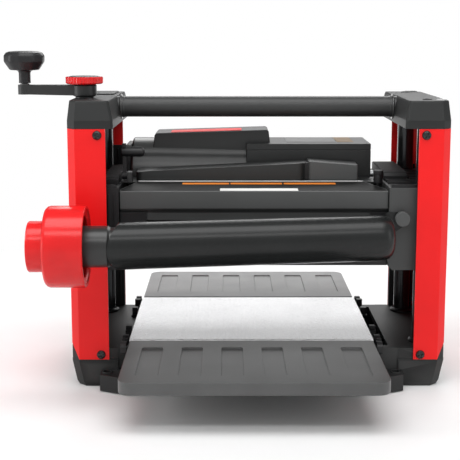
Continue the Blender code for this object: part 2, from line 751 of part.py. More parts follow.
def chute_adapter():
    shape = turned(
        [(23.6, -240), (26.4, -240), (26.4, CHUTE_LEFT[0] - 0.5), (23.6, CHUTE_LEFT[0] - 0.5)], "X",
        (0, PORT_Y, CHUTE_Z), 24, ring=True,
    )
    node("chute_adapter", shape, "head", DARK, 0.4)


def dust_port():
    """Hose collar on the end of the chute."""
    end, step, mouth = PORT_X
    stub = [(29.5, end), (32.5, end), (32.5, step)]
    drum = [(45, step), (50, step + 2), (52, step + 7), (52, mouth - 1.5), (50.5, mouth)]
    bore = [(38, mouth), (37, mouth - 6), (27, mouth - 6), (27, mouth - 24), (29.5, mouth - 30)]
    node("dust_port", turned(stub + drum + bore, "X", (0, PORT_Y, CHUTE_Z), 28, ring=True), "head", RED, 0.35)


def drive_belt():
    wheels = [(*MOTOR_YZ, MOTOR_PULLEY_R), (*CUTTER_YZ, CUTTER_PULLEY_R)]
    node("drive_belt", belt(wheels, "X", BELT_X[0] + 1, BELT_X[1] - 1, BELT_SLACK, 1.7), "head", RUBBER, 0.7)


def feed_chain():
    wheels = [(0, FEED_GEAR_Z, FEED_SPROCKET_R)]
    wheels += [(end * ROLLER_Y, ROLLER_Z, ROLLER_SPROCKET_R) for end in (-1, 1)]
    shape = belt(wheels, "X", FEED_CHAIN_X[0] + 1, FEED_CHAIN_X[1] - 1, BELT_SLACK, 1.5)
    node("feed_chain", shape, "head", STEEL, 0.4, 1.0)


def cord_gland():
    """Strain relief on the infeed wall of the drive box, open where the cord comes out."""
    wall, length, flange = BOX_Y[1] + GAP, 15.7, 2.7
    profile = [(4.5, wall), (11, wall), (11, wall + flange), (8.5, wall + flange)]
    profile += [(7, wall + length), (4.5, wall + length)]
    node("cord_gland", turned(profile, "Y", (30, 0, 275), 16, ring=True), "head", BLACK, 0.6)


def switch():
    cheeks = [box(x, (126, 142), (290, 306)) for x in ((95, 99), (141, 145))]
    hole = rod("X", (0, 138, 299), 1.8, 93, 147, 10)
    housing = box((95, 145), (124.3, 132), (256, 306))
    node("switch_housing", housing, "head", BLACK, 0.5, 0.0, cheeks, [hole])
    pin = rod("X", (0, 138, 299), 1.5, 96, 144, 10)
    node("switch_paddle", box((99.5, 140.5), (135.5, 141), (262, 302)), "switch", RED, 0.4, 0.0, [pin])


def lock():
    """Cutterhead lock lever and its bracket."""
    x, y, z = PIVOTS["lock_lever"]
    at = (0, y, z)
    block = box((x - 5.3, x + 10.5), (y - 8, y + 8), (HEAD_Z[1] + GAP, z + 6))
    slot = box((x - 3.6, x + 3.6), (y - 10, y + 10), (z - 6, z + 11))
    pin = rod("X", at, 2, x - 4.5, x + 5, 12)
    node("lock_bracket", block, "head", BLACK, 0.5, 0.3, cut=[slot], fill=[pin])
    hub = rod("X", at, 5.5, x - 3.1, x + 3.1, 20)
    post = box((x - 2.6, x + 2.6), (y - 3, y + 3), (z + 2, z + 45))
    grip = rod("X", (0, y, z + 33), 6.5, x + 1, x + 27, 16)
    bore = rod("X", at, 2.4, x - 6, x + 6, 12)
    node("lock_lever", hub, "lock_lever", BLACK, 0.45, 0.2, [post, grip], [bore])


def knobs():
    profile = [(0, -107), (3, -107), (3, -116.3), (10, -116.3), (10, -122.5), (9, -124), (0, -124)]
    node("chute_knob", turned(profile, "Y", (192, 0, 229.5), 20), "chute_knob", GREY, 0.5)
    profile = [(0, 262), (2.5, 262), (2.5, 270.5), (6.5, 270.5), (6.5, 286.5), (5, 288), (0, 288)]
    node("hood_knob", turned(profile, "Z", (166, -60, 0), 16), "hood_knob", BLACK, 0.4)


# Turning pieces of the head


def cutterhead():
    low, high = WORK_X
    shaft = 8
    pinion = [(0, -201), (PINION_R, -201), (PINION_R, -191.5), (shaft, -191.5)]
    drum = [(shaft, low), (CUTTER_R, low), (CUTTER_R, high), (shaft, high)]
    pulley = [(shaft, BELT_X[0]), (CUTTER_PULLEY_R, BELT_X[0]), (CUTTER_PULLEY_R, BELT_X[1]), (0, BELT_X[1])]
    profile = pinion + drum + pulley
    y, z = CUTTER_YZ
    slots = []
    for name, side in (("knife_upper", 1), ("knife_lower", -1)):
        span = sorted((y, y + side * 2.4))
        slot = (span[0] - GAP, span[1] + GAP)
        slots.append(box((low - 1, high + 1), slot, sorted((z + side * 12.7, z + side * 30))))
        blade = box((low + 1, high - 1), span, sorted((z + side * 13, z + side * (KNIFE_R - 0.1))))
        node(name, blade, "cutter", BRIGHT, 0.2, 1.0)
    node("cutterhead", turned(profile, "X", (0, y, z), 24), "cutter", STEEL, 0.35, 1.0, cut=slots)


def feed_gear():
    gear, chain = FEED_GEAR_X, FEED_CHAIN_X
    profile = [
        (0, -211), (4, -211), (4, chain[0]), (FEED_SPROCKET_R, chain[0]), (FEED_SPROCKET_R, gear[0]),
        (FEED_GEAR_R, gear[0]), (FEED_GEAR_R, gear[1]), (4, gear[1]), (4, -188), (0, -188),
    ]
    node("feed_gear", turned(profile, "X", (0, 0, FEED_GEAR_Z), 28), "feed_gear", STEEL, 0.4, 1.0)


def feed_rollers():
    low, high = WORK_X
    sprocket = ROLLER_SPROCKET_R
    profile = [
        (0, FEED_CHAIN_X[0]), (sprocket, FEED_CHAIN_X[0]), (sprocket, FEED_CHAIN_X[1]), (6, FEED_CHAIN_X[1]),
        (6, low), (ROLLER_R, low), (ROLLER_R, high), (6, high), (6, 178.5), (0, 178.5),
    ]
    for name, end in (("infeed_roller", 1), ("outfeed_roller", -1)):
        node(name, turned(profile, "X", (0, end * ROLLER_Y, ROLLER_Z), 20), name, RUBBER, 0.7)


def motor_rotor():
    profile = [
        (0, -172), (6, -172), (6, -150), (28, -150), (28, -45), (6, -45), (6, BELT_X[0]),
        (MOTOR_PULLEY_R, BELT_X[0]), (MOTOR_PULLEY_R, BELT_X[1]), (0, BELT_X[1]),
    ]
    node("motor_rotor", turned(profile, "X", (0, *MOTOR_YZ), 20), "motor", STEEL, 0.4, 1.0)


def build():
    for thing in list(bpy.data.objects):
        bpy.data.objects.remove(thing)
    base()
    bottom_cover()
    bed_plate()
    columns()
    side_panel("side_panel_left", -1)
    side_panel("side_panel_right", 1)
    panel_screws()
    caps()
    carry_bar()
    lift_chain()
    table_hinges()
    lead_screws()
    crank_arm()
    crank_lock_knob()
    crank_knob()
    table("outfeed_table", "outfeed", -1)
    table("infeed_table", "infeed", 1)
    head_ends()
    hood_panel()
    guards()
    head_deck()
    duct_cover()
    motor_housing()
    drive_box()
    end_covers()
    lift_nuts()
    dust_chute()
    chute_adapter()
    dust_port()
    drive_belt()
    feed_chain()
    cord_gland()
    switch()
    lock()
    knobs()
    cutterhead()
    feed_gear()
    feed_rollers()
    motor_rotor()


build()
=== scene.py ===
import json
from math import cos, pi, radians, sin, tan

import bmesh
import bpy
from mathutils import Matrix, Vector


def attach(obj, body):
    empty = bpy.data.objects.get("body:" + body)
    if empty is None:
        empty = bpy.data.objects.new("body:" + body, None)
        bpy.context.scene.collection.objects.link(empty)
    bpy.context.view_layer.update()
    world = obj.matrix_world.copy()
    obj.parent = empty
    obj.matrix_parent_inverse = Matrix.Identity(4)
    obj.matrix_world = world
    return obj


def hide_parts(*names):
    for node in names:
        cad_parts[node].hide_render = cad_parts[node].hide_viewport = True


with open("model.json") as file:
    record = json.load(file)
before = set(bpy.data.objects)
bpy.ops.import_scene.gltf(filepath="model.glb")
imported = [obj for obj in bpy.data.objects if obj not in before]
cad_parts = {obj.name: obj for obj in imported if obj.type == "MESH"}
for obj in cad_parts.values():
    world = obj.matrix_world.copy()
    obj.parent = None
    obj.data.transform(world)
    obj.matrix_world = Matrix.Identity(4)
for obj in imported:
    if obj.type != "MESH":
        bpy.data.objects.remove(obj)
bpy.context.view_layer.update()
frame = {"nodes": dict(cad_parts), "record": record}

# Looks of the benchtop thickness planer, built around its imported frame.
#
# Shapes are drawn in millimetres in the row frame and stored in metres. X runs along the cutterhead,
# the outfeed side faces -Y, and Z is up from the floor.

MM = 0.001
SIDES = {"left": -1, "right": 1}
ENDS = {"outfeed": -1, "infeed": 1}


# Materials

COAT_ROUGH = 0.12
BUMP = 0.6
TONE_SCALE, TONE_SPAN = 14.0, (0.35, 0.65)  # slow changes of tone
EDGE_SPAN = (0.52, 0.62)  # pointiness from a flat face to a sharp edge


def ramp(tree, factor, span, left, right):
    """Grey ramp between the two positions of span."""
    node = tree.nodes.new("ShaderNodeValToRGB")
    for element, position, value in zip(node.color_ramp.elements, span, (left, right)):
        element.position = position
        element.color = (value, value, value, 1)
    tree.links.new(factor, node.inputs[0])
    return node.outputs[0]


def mixed(tree, factor, dark, light):
    """Mix of two colours by a factor socket; either colour may itself be a socket."""
    node = tree.nodes.new("ShaderNodeMix")
    node.data_type = "RGBA"
    tree.links.new(factor, node.inputs[0])
    for socket, colour in ((node.inputs[6], dark), (node.inputs[7], light)):
        if isinstance(colour, tuple):
            socket.default_value = (*colour, 1)
        else:
            tree.links.new(colour, socket)
    return node.outputs[2]


def noise(tree, place, scale, detail=3.0):
    node = tree.nodes.new("ShaderNodeTexNoise")
    node.inputs["Scale"].default_value = scale
    node.inputs["Detail"].default_value = detail
    tree.links.new(place, node.inputs["Vector"])
    return node.outputs[0]


def finish_of(name, colour, rough, metal=0.0, grain=0.35, height=0.06, shade=0.08, spread=0.06,
              stretch=(1, 1, 1), coat=0.0, wear=0.0, worn=(0.1, 0.1, 0.1), specular=0.5):
    """A surface with fine relief, slow changes of tone and gloss, and lighter rubbed edges.

    grain is the relief's size in millimetres and height its depth; stretch draws it out into strokes.
    """
    material = bpy.data.materials.new(name)
    material.use_nodes = True
    tree = material.node_tree
    nodes, links = tree.nodes, tree.links
    shader = nodes["Principled BSDF"]
    shader.inputs["Metallic"].default_value = metal
    shader.inputs["Coat Weight"].default_value = coat
    shader.inputs["Coat Roughness"].default_value = COAT_ROUGH
    shader.inputs["Specular IOR Level"].default_value = specular
    place = nodes.new("ShaderNodeTexCoord").outputs["Object"]
    strokes = nodes.new("ShaderNodeMapping")
    strokes.inputs["Scale"].default_value = stretch
    links.new(place, strokes.inputs["Vector"])
    fine = noise(tree, strokes.outputs[0], 1 / (grain * MM), 2.0)
    slow = noise(tree, place, TONE_SCALE, 4.0)
    dark = tuple(c * (1 - shade) for c in colour)
    light = tuple(min(1, c * (1 + shade)) for c in colour)
    shown = mixed(tree, ramp(tree, slow, TONE_SPAN, 0, 1), dark, light)
    if wear:
        edges = nodes.new("ShaderNodeNewGeometry").outputs["Pointiness"]
        shown = mixed(tree, ramp(tree, edges, EDGE_SPAN, 0, wear), shown, worn)
    links.new(shown, shader.inputs["Base Color"])
    gloss = nodes.new("ShaderNodeMapRange")
    links.new(fine, gloss.inputs["Value"])
    gloss.inputs["To Min"].default_value = max(0.02, rough - spread)
    gloss.inputs["To Max"].default_value = min(1.0, rough + spread)
    links.new(gloss.outputs[0], shader.inputs["Roughness"])
    bump = nodes.new("ShaderNodeBump")
    bump.inputs["Strength"].default_value = BUMP
    bump.inputs["Distance"].default_value = height * MM
    links.new(fine, bump.inputs["Height"])
    links.new(bump.outputs[0], shader.inputs["Normal"])
    return material


CAST = {"grain": 0.5, "height": 0.10, "shade": 0.1, "wear": 0.4, "worn": (0.07, 0.07, 0.07)}
PAINTED = {"grain": 0.9, "height": 0.03, "shade": 0.04, "spread": 0.04}
MOULDED = {"grain": 0.45, "height": 0.05}
BRUSHED = {"grain": 0.25, "height": 0.015, "shade": 0.04}
RUBBER = {"grain": 0.6, "height": 0.08}
PLAIN_FLOOR = {"grain": 20, "height": 0.01, "shade": 0.005}
LABEL = {**PAINTED, "specular": 0.15}


RED, BLACK = (0.80, 0.008, 0.009), (0.005, 0.005, 0.006)
# Every material slot of the record, and the tones that only show here:
# colour, roughness, metal, kind of surface, and what differs from that kind.
FINISHES = {
    "red_paint": (RED, 0.38, 0, PAINTED, {"coat": 0.03, "specular": 0.24}),
    "red_plastic": ((0.68, 0.008, 0.009), 0.2, 0, MOULDED, {"specular": 0.38}),
    "cast_grey": ((0.014, 0.015, 0.015), 0.5, 0, CAST, {"specular": 0.3}),
    "bar_paint": ((0.024, 0.025, 0.025), 0.45, 0, PAINTED, {}),
    "cover_steel": (BLACK, 0.5, 0, PAINTED, {}),
    "black_steel": (BLACK, 0.38, 0, MOULDED, {"wear": 0.4, "worn": (0.06, 0.06, 0.06)}),
    "crank_metal": ((0.012, 0.013, 0.013), 0.42, 0, PAINTED, {}),
    "black_plastic": ((0.007, 0.007, 0.008), 0.42, 0, MOULDED, {"specular": 0.4}),
    "dark_plastic": ((0.014, 0.015, 0.015), 0.42, 0, MOULDED, {}),
    "hood_paint": ((0.062, 0.064, 0.064), 0.42, 0, PAINTED, {}),
    "bed_steel": ((0.78, 0.78, 0.79), 0.28, 0.75, BRUSHED, {"stretch": (0.03, 1, 1)}),
    "ground_steel": ((0.05, 0.052, 0.055), 0.24, 0.8, BRUSHED, {"stretch": (1, 1, 0.05)}),
    "chain_steel": ((0.16, 0.16, 0.17), 0.35, 1.0, BRUSHED, {}),
    "drum_steel": ((0.42, 0.43, 0.44), 0.3, 1.0, BRUSHED, {"stretch": (0.05, 1, 1)}),
    "knife_steel": ((0.75, 0.76, 0.78), 0.15, 1.0, BRUSHED, {}),
    "bronze": ((0.50, 0.33, 0.14), 0.3, 1.0, BRUSHED, {}),
    "belt_rubber": ((0.014, 0.014, 0.014), 0.6, 0, RUBBER, {}),
    "table_near": ((0.078, 0.079, 0.079), 0.36, 0, CAST, {}),
    # painted light: the far table takes a lighter copy of the same cast grey, for the light that falls on
    # it from behind and above
    "table_far_painted_lit": ((0.22, 0.22, 0.22), 0.45, 0, CAST, {}),
    # painted light: the right head end takes a lighter grey than the left end casting, for how light falls
    # on that side
    "casting_right_painted_lit": ((0.046, 0.048, 0.048), 0.45, 0, CAST, {}),
    "knob_grey": ((0.062, 0.064, 0.064), 0.45, 0, MOULDED, {}),
    "tube_plastic": ((0.010, 0.011, 0.011), 0.26, 0, MOULDED, {"specular": 0.3}),
    "screw_black": ((0.05, 0.05, 0.05), 0.25, 0.9, MOULDED, {}),
    # rubbed metal on the pins, and a painted highlight on the bar's seating rings
    "rubbed_and_highlight": ((0.10, 0.10, 0.10), 0.3, 0.5, MOULDED, {}),
    # painted highlight: a pale grey for bright lines and glints
    "highlight_grey": ((0.42, 0.42, 0.42), 0.35, 0, MOULDED, {}),
    "label_amber": ((0.17, 0.10, 0.035), 0.4, 0, LABEL, {}),
    "motor_plastic": ((0.018, 0.019, 0.019), 0.3, 0, MOULDED, {}),
    "label_white": ((0.72, 0.72, 0.70), 0.4, 0, LABEL, {}),
    "label_orange": ((0.75, 0.22, 0.02), 0.4, 0, LABEL, {}),
    "label_grey": ((0.15, 0.15, 0.15), 0.4, 0, LABEL, {}),
    # painted shade: a near-black sheet laid over the hood's upper face to darken it
    "shade_black": ((0.009, 0.009, 0.009), 0.5, 0, PAINTED, {"specular": 0.06}),
    "label_red": ((0.80, 0.02, 0.02), 0.4, 0, LABEL, {}),
    "floor_paint": ((0.86, 0.86, 0.86), 0.7, 0, PLAIN_FLOOR, {}),
}
PAINT = {}
for finish, (colour, rough, metal, kind, more) in FINISHES.items():
    PAINT[finish] = finish_of(finish, colour, rough, metal, **kind, **more)
SLOT_OF = {row["node"]: row["material_slot"] for row in frame["record"]["subparts"]}


# Shapes: each function returns a closed bmesh in millimetres


def skin(bm, rows, ring=False):
    """Faces between rows of points; a row of one point is a pole."""
    pairs = list(zip(rows, rows[1:]))
    if ring:
        pairs.append((rows[-1], rows[0]))
    for low, high in pairs:
        count = max(len(low), len(high))
        for k in range(count):
            n = (k + 1) % count
            corners = [low[k % len(low)], low[n % len(low)], high[n % len(high)], high[k % len(high)]]
            bm.faces.new(list(dict.fromkeys(corners)))
    if not ring:
        for end in (rows[0], rows[-1]):
            if len(end) > 2:
                bm.faces.new(end)
    bmesh.ops.recalc_face_normals(bm, faces=bm.faces)
    return bm


def loft(sections, ring=False):
    """Solid through rings of points that all have the same count, or are a single point."""
    bm = bmesh.new()
    return skin(bm, [[bm.verts.new(p) for p in section] for section in sections], ring)


def spot(axis, at, across, up, along):
    """A point from its distances across and along a turning axis."""
    x, y, z = at
    if axis == "X":
        return (x + along, y + across, z + up)
    if axis == "Y":
        return (x + across, y + along, z + up)
    return (x + across, y + up, z + along)


def turned(profile, axis, at, steps=64, ring=False, lobes=0):
    """Solid of revolution from (radius, distance along the axis) points.

    A third number in a point is how deep the flutes round the rim are cut there.
    """
    sections = []
    for radius, along, *flute in profile:
        depth = flute[0] if flute else 0
        angles = [2 * pi * k / steps for k in range(steps)] if radius else [0]
        reach = [radius - depth * (1 + cos(lobes * a)) / 2 for a in angles]
        sections.append([spot(axis, at, r * cos(a), r * sin(a), along) for r, a in zip(reach, angles)])
    return loft(sections, ring)


def rod(axis, at, radius, start, end, steps=48):
    return turned([(radius, start), (radius, end)], axis, at, steps)


def prism(outline, axis, low, high):
    """Outline points extruded from low to high along an axis."""
    ends = []
    for along in (low, high):
        if axis == "X":
            ends.append([(along, a, b) for a, b in outline])
        elif axis == "Y":
            ends.append([(a, along, b) for a, b in outline])
        else:
            ends.append([(a, b, along) for a, b in outline])
    return loft(ends)


def box(x, y, z):
    return prism([(x[0], y[0]), (x[1], y[0]), (x[1], y[1]), (x[0], y[1])], "Z", z[0], z[1])


def rounded(corners, steps=8):
    """Outline whose corners are (x, y, radius), each drawn as an arc."""
    points = []
    count = len(corners)
    for k, (x, y, radius) in enumerate(corners):
        here = Vector((x, y))
        before = (Vector(corners[k - 1][:2]) - here).normalized()
        after = (Vector(corners[(k + 1) % count][:2]) - here).normalized()
        if not radius:
            points.append((x, y))
            continue
        half = before.angle(after) / 2
        centre = here + (before + after).normalized() * radius / sin(half)
        start = here + before * radius / tan(half) - centre
        finish = here + after * radius / tan(half) - centre
        turn = start.angle_signed(finish)
        for s in range(steps + 1):
            arm = start.copy()
            arm.rotate(Matrix.Rotation(-turn * s / steps, 2))
            points.append(tuple(centre + arm))
    return points


def cushion_plan(x, y, radius):
    """Rounded rectangle."""
    return rounded([(x[0], y[0], radius), (x[1], y[0], radius), (x[1], y[1], radius), (x[0], y[1], radius)])


def cross(at, arm, half, turn):
    """Outline of a cross-shaped recess."""
    points = [(half, arm), (half, half), (arm, half), (arm, -half), (half, -half), (half, -arm)]
    points += [(-a, -b) for a, b in points]
    spin = Matrix.Rotation(turn, 2)
    return [tuple(spin @ Vector(p) + Vector(at)) for p in points]


# Pieces

WELD_GAP, FLAT_ANGLE, ROUND_STEPS = 0.00001, 0.8, 3  # metres, degrees, segments


def soften(thing, width, angle=28):
    """Rounded edges on a piece of plain faces."""
    weld = thing.modifiers.new("weld", "WELD")
    weld.merge_threshold = WELD_GAP
    flat = thing.modifiers.new("flat", "DECIMATE")
    flat.decimate_type = "DISSOLVE"
    flat.angle_limit = radians(FLAT_ANGLE)
    bevel = thing.modifiers.new("round", "BEVEL")
    bevel.width = width * MM
    bevel.segments = ROUND_STEPS
    bevel.limit_method = "ANGLE"
    bevel.angle_limit = radians(angle)
    for face in thing.data.polygons:
        face.use_smooth = True
    thing.modifiers.new("normals", "WEIGHTED_NORMAL")


def mesh_object(name, shape):
    for vert in shape.verts:
        vert.co *= MM
    mesh = bpy.data.meshes.new(name)
    shape.to_mesh(mesh)
    shape.free()
    thing = bpy.data.objects.new(name, mesh)
    bpy.context.scene.collection.objects.link(thing)
    return thing


def carve(thing, add, cut):
    """Join and cut with other shapes, and keep only the result."""
    tools = [(mesh_object("tool", shape), "UNION") for shape in add]
    tools += [(mesh_object("tool", shape), "DIFFERENCE") for shape in cut]
    for tool, operation in tools:
        step = thing.modifiers.new("step", "BOOLEAN")
        step.operation = operation
        step.solver = "EXACT"
        step.object = tool
    bpy.context.view_layer.update()
    shown = thing.evaluated_get(bpy.context.evaluated_depsgraph_get())
    made = bpy.data.meshes.new_from_object(shown)
    thing.modifiers.clear()
    thing.data = made
    for tool, _ in tools:
        bpy.data.objects.remove(tool)


def piece(name, shape, owner, slot, soft=0.8, add=(), cut=(), stands_for=(), paint=None, angle=28):
    """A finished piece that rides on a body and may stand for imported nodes."""
    thing = mesh_object(name, shape)
    if add or cut:
        carve(thing, add, cut)
    thing.data.materials.clear()
    thing.data.materials.append(PAINT[paint or slot])
    soften(thing, soft, angle)
    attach(thing, owner)
    if stands_for:
        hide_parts(*stands_for)
    return thing


# Standing frame

HALF_WIDTH, HALF_DEPTH, CORNER, SHEET = 253.0, 128.0, 10.5, 2.5
PANEL_LOW, PANEL_HIGH, PANEL_SKIRT = 38.0, 350.0, 59.0
FLANGE_EDGE = {-1: 202.0, 1: 210.0}
SCREW_AT = {-1: -212.6, 1: 219.3}
SCREW_Z = {"lower": 45.0, "upper": 342.0}
BED_X, BED_TOP = (-174.7, 156.1), 65.0
BED_CENTRE = (BED_X[0] + BED_X[1]) / 2
COLUMN_X, COLUMN_Y, COLUMN_R = 225.5, 88.0, 12.0
LEAD_X, LEAD_Y = 236.5, -56.0
POST_TOP, BASE_TOP = 361.5, 53.0
CAP_TOP = 386.6
FIELD_DEPTH = 0.9
LEAD_PITCH = 1.5875
BAR_AT = (0, 0, 371.6)
HINGE_Y, HINGE_Z = 136, 57


def panel_outline(side, inset):
    """Half of the channel's outline, from the outfeed flange's edge to the infeed one's."""
    x, y = HALF_WIDTH - inset, HALF_DEPTH - inset
    cut = CORNER - inset * (2 - 2**0.5) / 2
    edge = FLANGE_EDGE[side]
    half = [(edge, -y), (x - cut, -y), (x, cut - y), (x, y - cut), (x - cut, y), (edge, y)]
    return [(side * a, b) for a, b in half]


def side_panel(name, side):
    """Folded sheet with a shallow pressed field on its outer face and a slanted lower edge."""
    start, past = HALF_WIDTH - CORNER, HALF_WIDTH + 7
    low, skirt = PANEL_LOW, PANEL_SKIRT
    slant = [(start, low - 8), (start, low - 0.1), (HALF_WIDTH, skirt), (past, skirt), (past, low - 8)]
    outline = panel_outline(side, 0) + panel_outline(side, SHEET)[::-1]
    field = sorted((side * (HALF_WIDTH - FIELD_DEPTH), side * (HALF_WIDTH + 3)))
    cut = [prism([(side * x, z) for x, z in slant], "Y", -HALF_DEPTH - 7, HALF_DEPTH + 7)]
    cut.append(prism(cushion_plan((-98, 98), (92, 322), 9), "X", *field))
    for z in SCREW_Z.values():
        for end in ENDS.values():
            flange = end * (HALF_DEPTH - 2)
            cut.append(rod("Y", (SCREW_AT[side], 0, z), 2.8, flange - 8, flange + 8))
    shape = prism(outline, "Z", low, PANEL_HIGH)
    piece(name + "_skin", shape, "frame", "red_paint", 0.7, cut=cut, stands_for=[name])


def panel_screw(name, x, z, end, turn, nodes=()):
    """Pan head with a cross recess, on a short shank."""
    face = HALF_DEPTH + 0.3
    shank, rim = 2.4, 6
    profile = [(0, face - 5.3), (shank, face - 5.3), (shank, face), (rim, face), (rim, face + 1.2),
               (5.3, face + 2.4), (3.6, face + 3.2), (0, face + 3.5)]
    recess = prism(cross((x, z), 4.2, 1.05, turn), "Y", *sorted((end * (face + 0.5), end * (face + 5))))
    head = turned([(r, end * y) for r, y in profile], "Y", (x, 0, z), 48)
    piece(name, head, "frame", "black_steel", 0.25, cut=[recess], stands_for=nodes, paint="screw_black")


def panel_screws():
    turn = 0.5
    for side_name, side in SIDES.items():
        for level, z in SCREW_Z.items():
            node = f"panel_screw_{side_name}_{level}"
            panel_screw(node + "_outfeed", SCREW_AT[side], z, -1, turn, [node])
            panel_screw(node + "_infeed", SCREW_AT[side], z, 1, turn + 0.4)
            turn += 0.7


def columns():
    """Ground guide columns, each with a seat ring at its foot."""
    low, r = BASE_TOP + 0.3, COLUMN_R
    profile = [(r - 0.6, low), (r, low + 0.6), (r, POST_TOP)]
    ring = [(r + 0.2, low), (r + 5, low), (r + 5, low + 2.5), (r + 2.5, low + 5), (r + 0.2, low + 5)]
    for side_name, side in SIDES.items():
        for end_name, end in ENDS.items():
            at = (side * COLUMN_X, end * COLUMN_Y, 0)
            name = f"column_{side_name}_{end_name}"
            piece(name + "_rod", turned(profile, "Z", at), "frame", "ground_steel", 0.3, stands_for=[name])
            piece(name + "_seat", turned(ring, "Z", at, ring=True), "frame", "black_steel", 0.5)


def thread(at, radius, depth, pitch, low, high, steps=20):
    """Screw thread drawn as closed rings: a crest and a root for each pitch."""
    x, y, _ = at
    angles = [2 * pi * k / steps for k in range(steps)]

    def circle(reach, z):
        return [(x + reach * cos(a), y + reach * sin(a), z) for a in angles]

    sections = [circle(radius - depth, low)]
    for turn in range(int((high - low) / pitch)):
        sections.append(circle(radius, low + (turn + 0.25) * pitch))
        sections.append(circle(radius - depth, low + (turn + 0.75) * pitch))
    return loft(sections)


def lead_screws():
    """Foot, thread and neck of each lead screw; the crank sits on the left one's longer neck."""
    foot = [(0, 39), (4, 39), (4, 42.5), (9, 42.5), (9, 46), (6.4, 46), (6.4, 54), (0, 54)]
    start = [(0, 344), (6.4, 344), (6.4, POST_TOP)]
    necks = {"left": start + [(5, POST_TOP), (5, 403.5), (0, 403.5)], "right": start + [(0, POST_TOP)]}
    owners = {"left": "crank", "right": "right_screw"}
    for name, side in SIDES.items():
        at, owner, node = (side * LEAD_X, LEAD_Y, 0), owners[name], f"lead_screw_{name}"
        middle = thread(at, 7.0, 0.6, LEAD_PITCH, 50, 348)
        piece(node + "_foot", turned(foot, "Z", at), owner, "ground_steel", 0.3)
        piece(node + "_neck", turned(necks[name], "Z", at), owner, "ground_steel", 0.3)
        piece(node + "_thread", middle, owner, "ground_steel", 0.05, stands_for=[node], angle=80)


def cap_details():
    """Bolts over the columns, the bar's seating rings in a lighter grey as a painted highlight, a pale ring
    in the tool pocket as a painted highlight, and a raised plate at the left.
    """
    bolt = [(0, 380), (6.5, 380), (6.5, CAP_TOP + 0.6), (5.7, CAP_TOP + 1.4), (0, CAP_TOP + 1.4)]
    seat = [(14.6, 190.6), (17.6, 190.6), (17.6, 191.8), (14.6, 193.6)]
    for side_name, side in SIDES.items():
        for end_name, end in ENDS.items():
            at = (side * (COLUMN_X - 1), end * (COLUMN_Y + 6), 0)
            hexagon = turned([(3.2, CAP_TOP - 2), (3.2, CAP_TOP + 4)], "Z", at, 6)
            name = f"cap_bolt_{side_name}_{end_name}"
            piece(name, turned(bolt, "Z", at), "frame", "black_steel", 0.3, cut=[hexagon])
        # The bar's seating rings take the lighter grey as a painted highlight at the bar's ends.
        ring = turned([(r, side * x) for r, x in seat], "X", BAR_AT, ring=True)
        piece(f"bar_ring_{side_name}", ring, "frame", "bar_paint", 0.3, paint="rubbed_and_highlight")
    # Pale ring in the tool pocket: a painted highlight on the pocket's rim.
    pocket_rim = [(4.6, 383.5), (6.8, 383.5), (6.8, CAP_TOP + 0.8), (6.2, CAP_TOP + 1.4), (4.6, CAP_TOP + 1.0)]
    ring = turned(pocket_rim, "Z", (242, -106, 0), ring=True)
    piece("tool_pocket_highlight", ring, "frame", "cast_grey", 0.25, paint="highlight_grey")
    plate = prism(cushion_plan((-242, -205), (22, 104), 4), "Z", CAP_TOP - 2, CAP_TOP + 1.8)
    piece("cap_left_plate", plate, "frame", "cast_grey", 0.7)


def carry_bar():
    """Tube with a low collar at each cap."""
    end, seat, radius, collar = -203.5, -191.7, 14.5, 15.1
    half = [(0, end), (radius, end), (radius, seat), (collar, seat), (collar, seat + 4), (radius, seat + 5)]
    profile = half + [(r, -x) for r, x in half[::-1]]
    tube = turned(profile, "X", BAR_AT, 96)
    piece("carry_bar_tube", tube, "frame", "bar_paint", 0.4, stands_for=["carry_bar"])


def bed_plate():
    """Polished sheet whose outfeed and infeed edges roll over."""
    y, low = 125.0, BED_TOP - 3
    roll = [(-y, low), (-y, BED_TOP - 1.6), (-y + 0.5, BED_TOP - 0.5), (-y + 1.8, BED_TOP)]
    outline = roll + [(-a, b) for a, b in roll[::-1]]
    piece("bed_sheet", prism(outline, "X", *BED_X), "frame", "bed_steel", 0.2, stands_for=["bed_plate"])


def clips():
    """Hinge arms, pins and small clips beside the bed."""
    spans = {"left": (BED_X[0] - 12, BED_X[0] - 1.5), "right": (BED_X[1] + 1.5, BED_X[1] + 12)}
    pins = {"left": (BED_X[0] - 8.3, BED_X[0] + 9.7), "right": (BED_X[1] - 9.1, BED_X[1] + 7.9)}
    corners = [(122, 49, 0), (143, 49, 3), (143, 61, 5), (HINGE_Y, 64.5, 4), (128, 64.5, 2), (122, 56, 2)]
    blocks = ((102, 109, 66.5), (113, 119, 64.5), (50, 58, 66.5), (61, 66, 62))
    for side, (x0, x1) in spans.items():
        for end_name, end in ENDS.items():
            shape = box((x0, x1), sorted((end * 48, end * 128)), (BASE_TOP + 0.3, 55.5))
            arm = rounded([(end * y, z, radius) for y, z, radius in corners], 4)
            add = [prism(arm, "X", x0 + 1.5, x1 - 1.5)]
            for near, far, top in blocks:
                add.append(box((x0 + 1.5, x1 - 1), sorted((end * near, end * far)), (53.6, top)))
            add.append(rod("X", (0, end * HINGE_Y, HINGE_Z), 2.8, *pins[side]))
            node = f"table_hinge_{side}_{end_name}"
            piece(node + "_arm", shape, "frame", "black_steel", 0.5, add, stands_for=[node],
                  paint="cover_steel")


def ear_bosses():
    """Raised bosses round the bolt holes in the base's ears."""
    profile = [(5, 22), (8, 22), (7.4, 24.6), (5, 24.6)]
    for side_name, side in SIDES.items():
        for end_name, end in ENDS.items():
            at = (BED_CENTRE + side * 194.5, end * 137.0, 0)
            shape = turned(profile, "Z", at, ring=True)
            piece(f"ear_boss_{side_name}_{end_name}", shape, "frame", "cast_grey", 0.5)


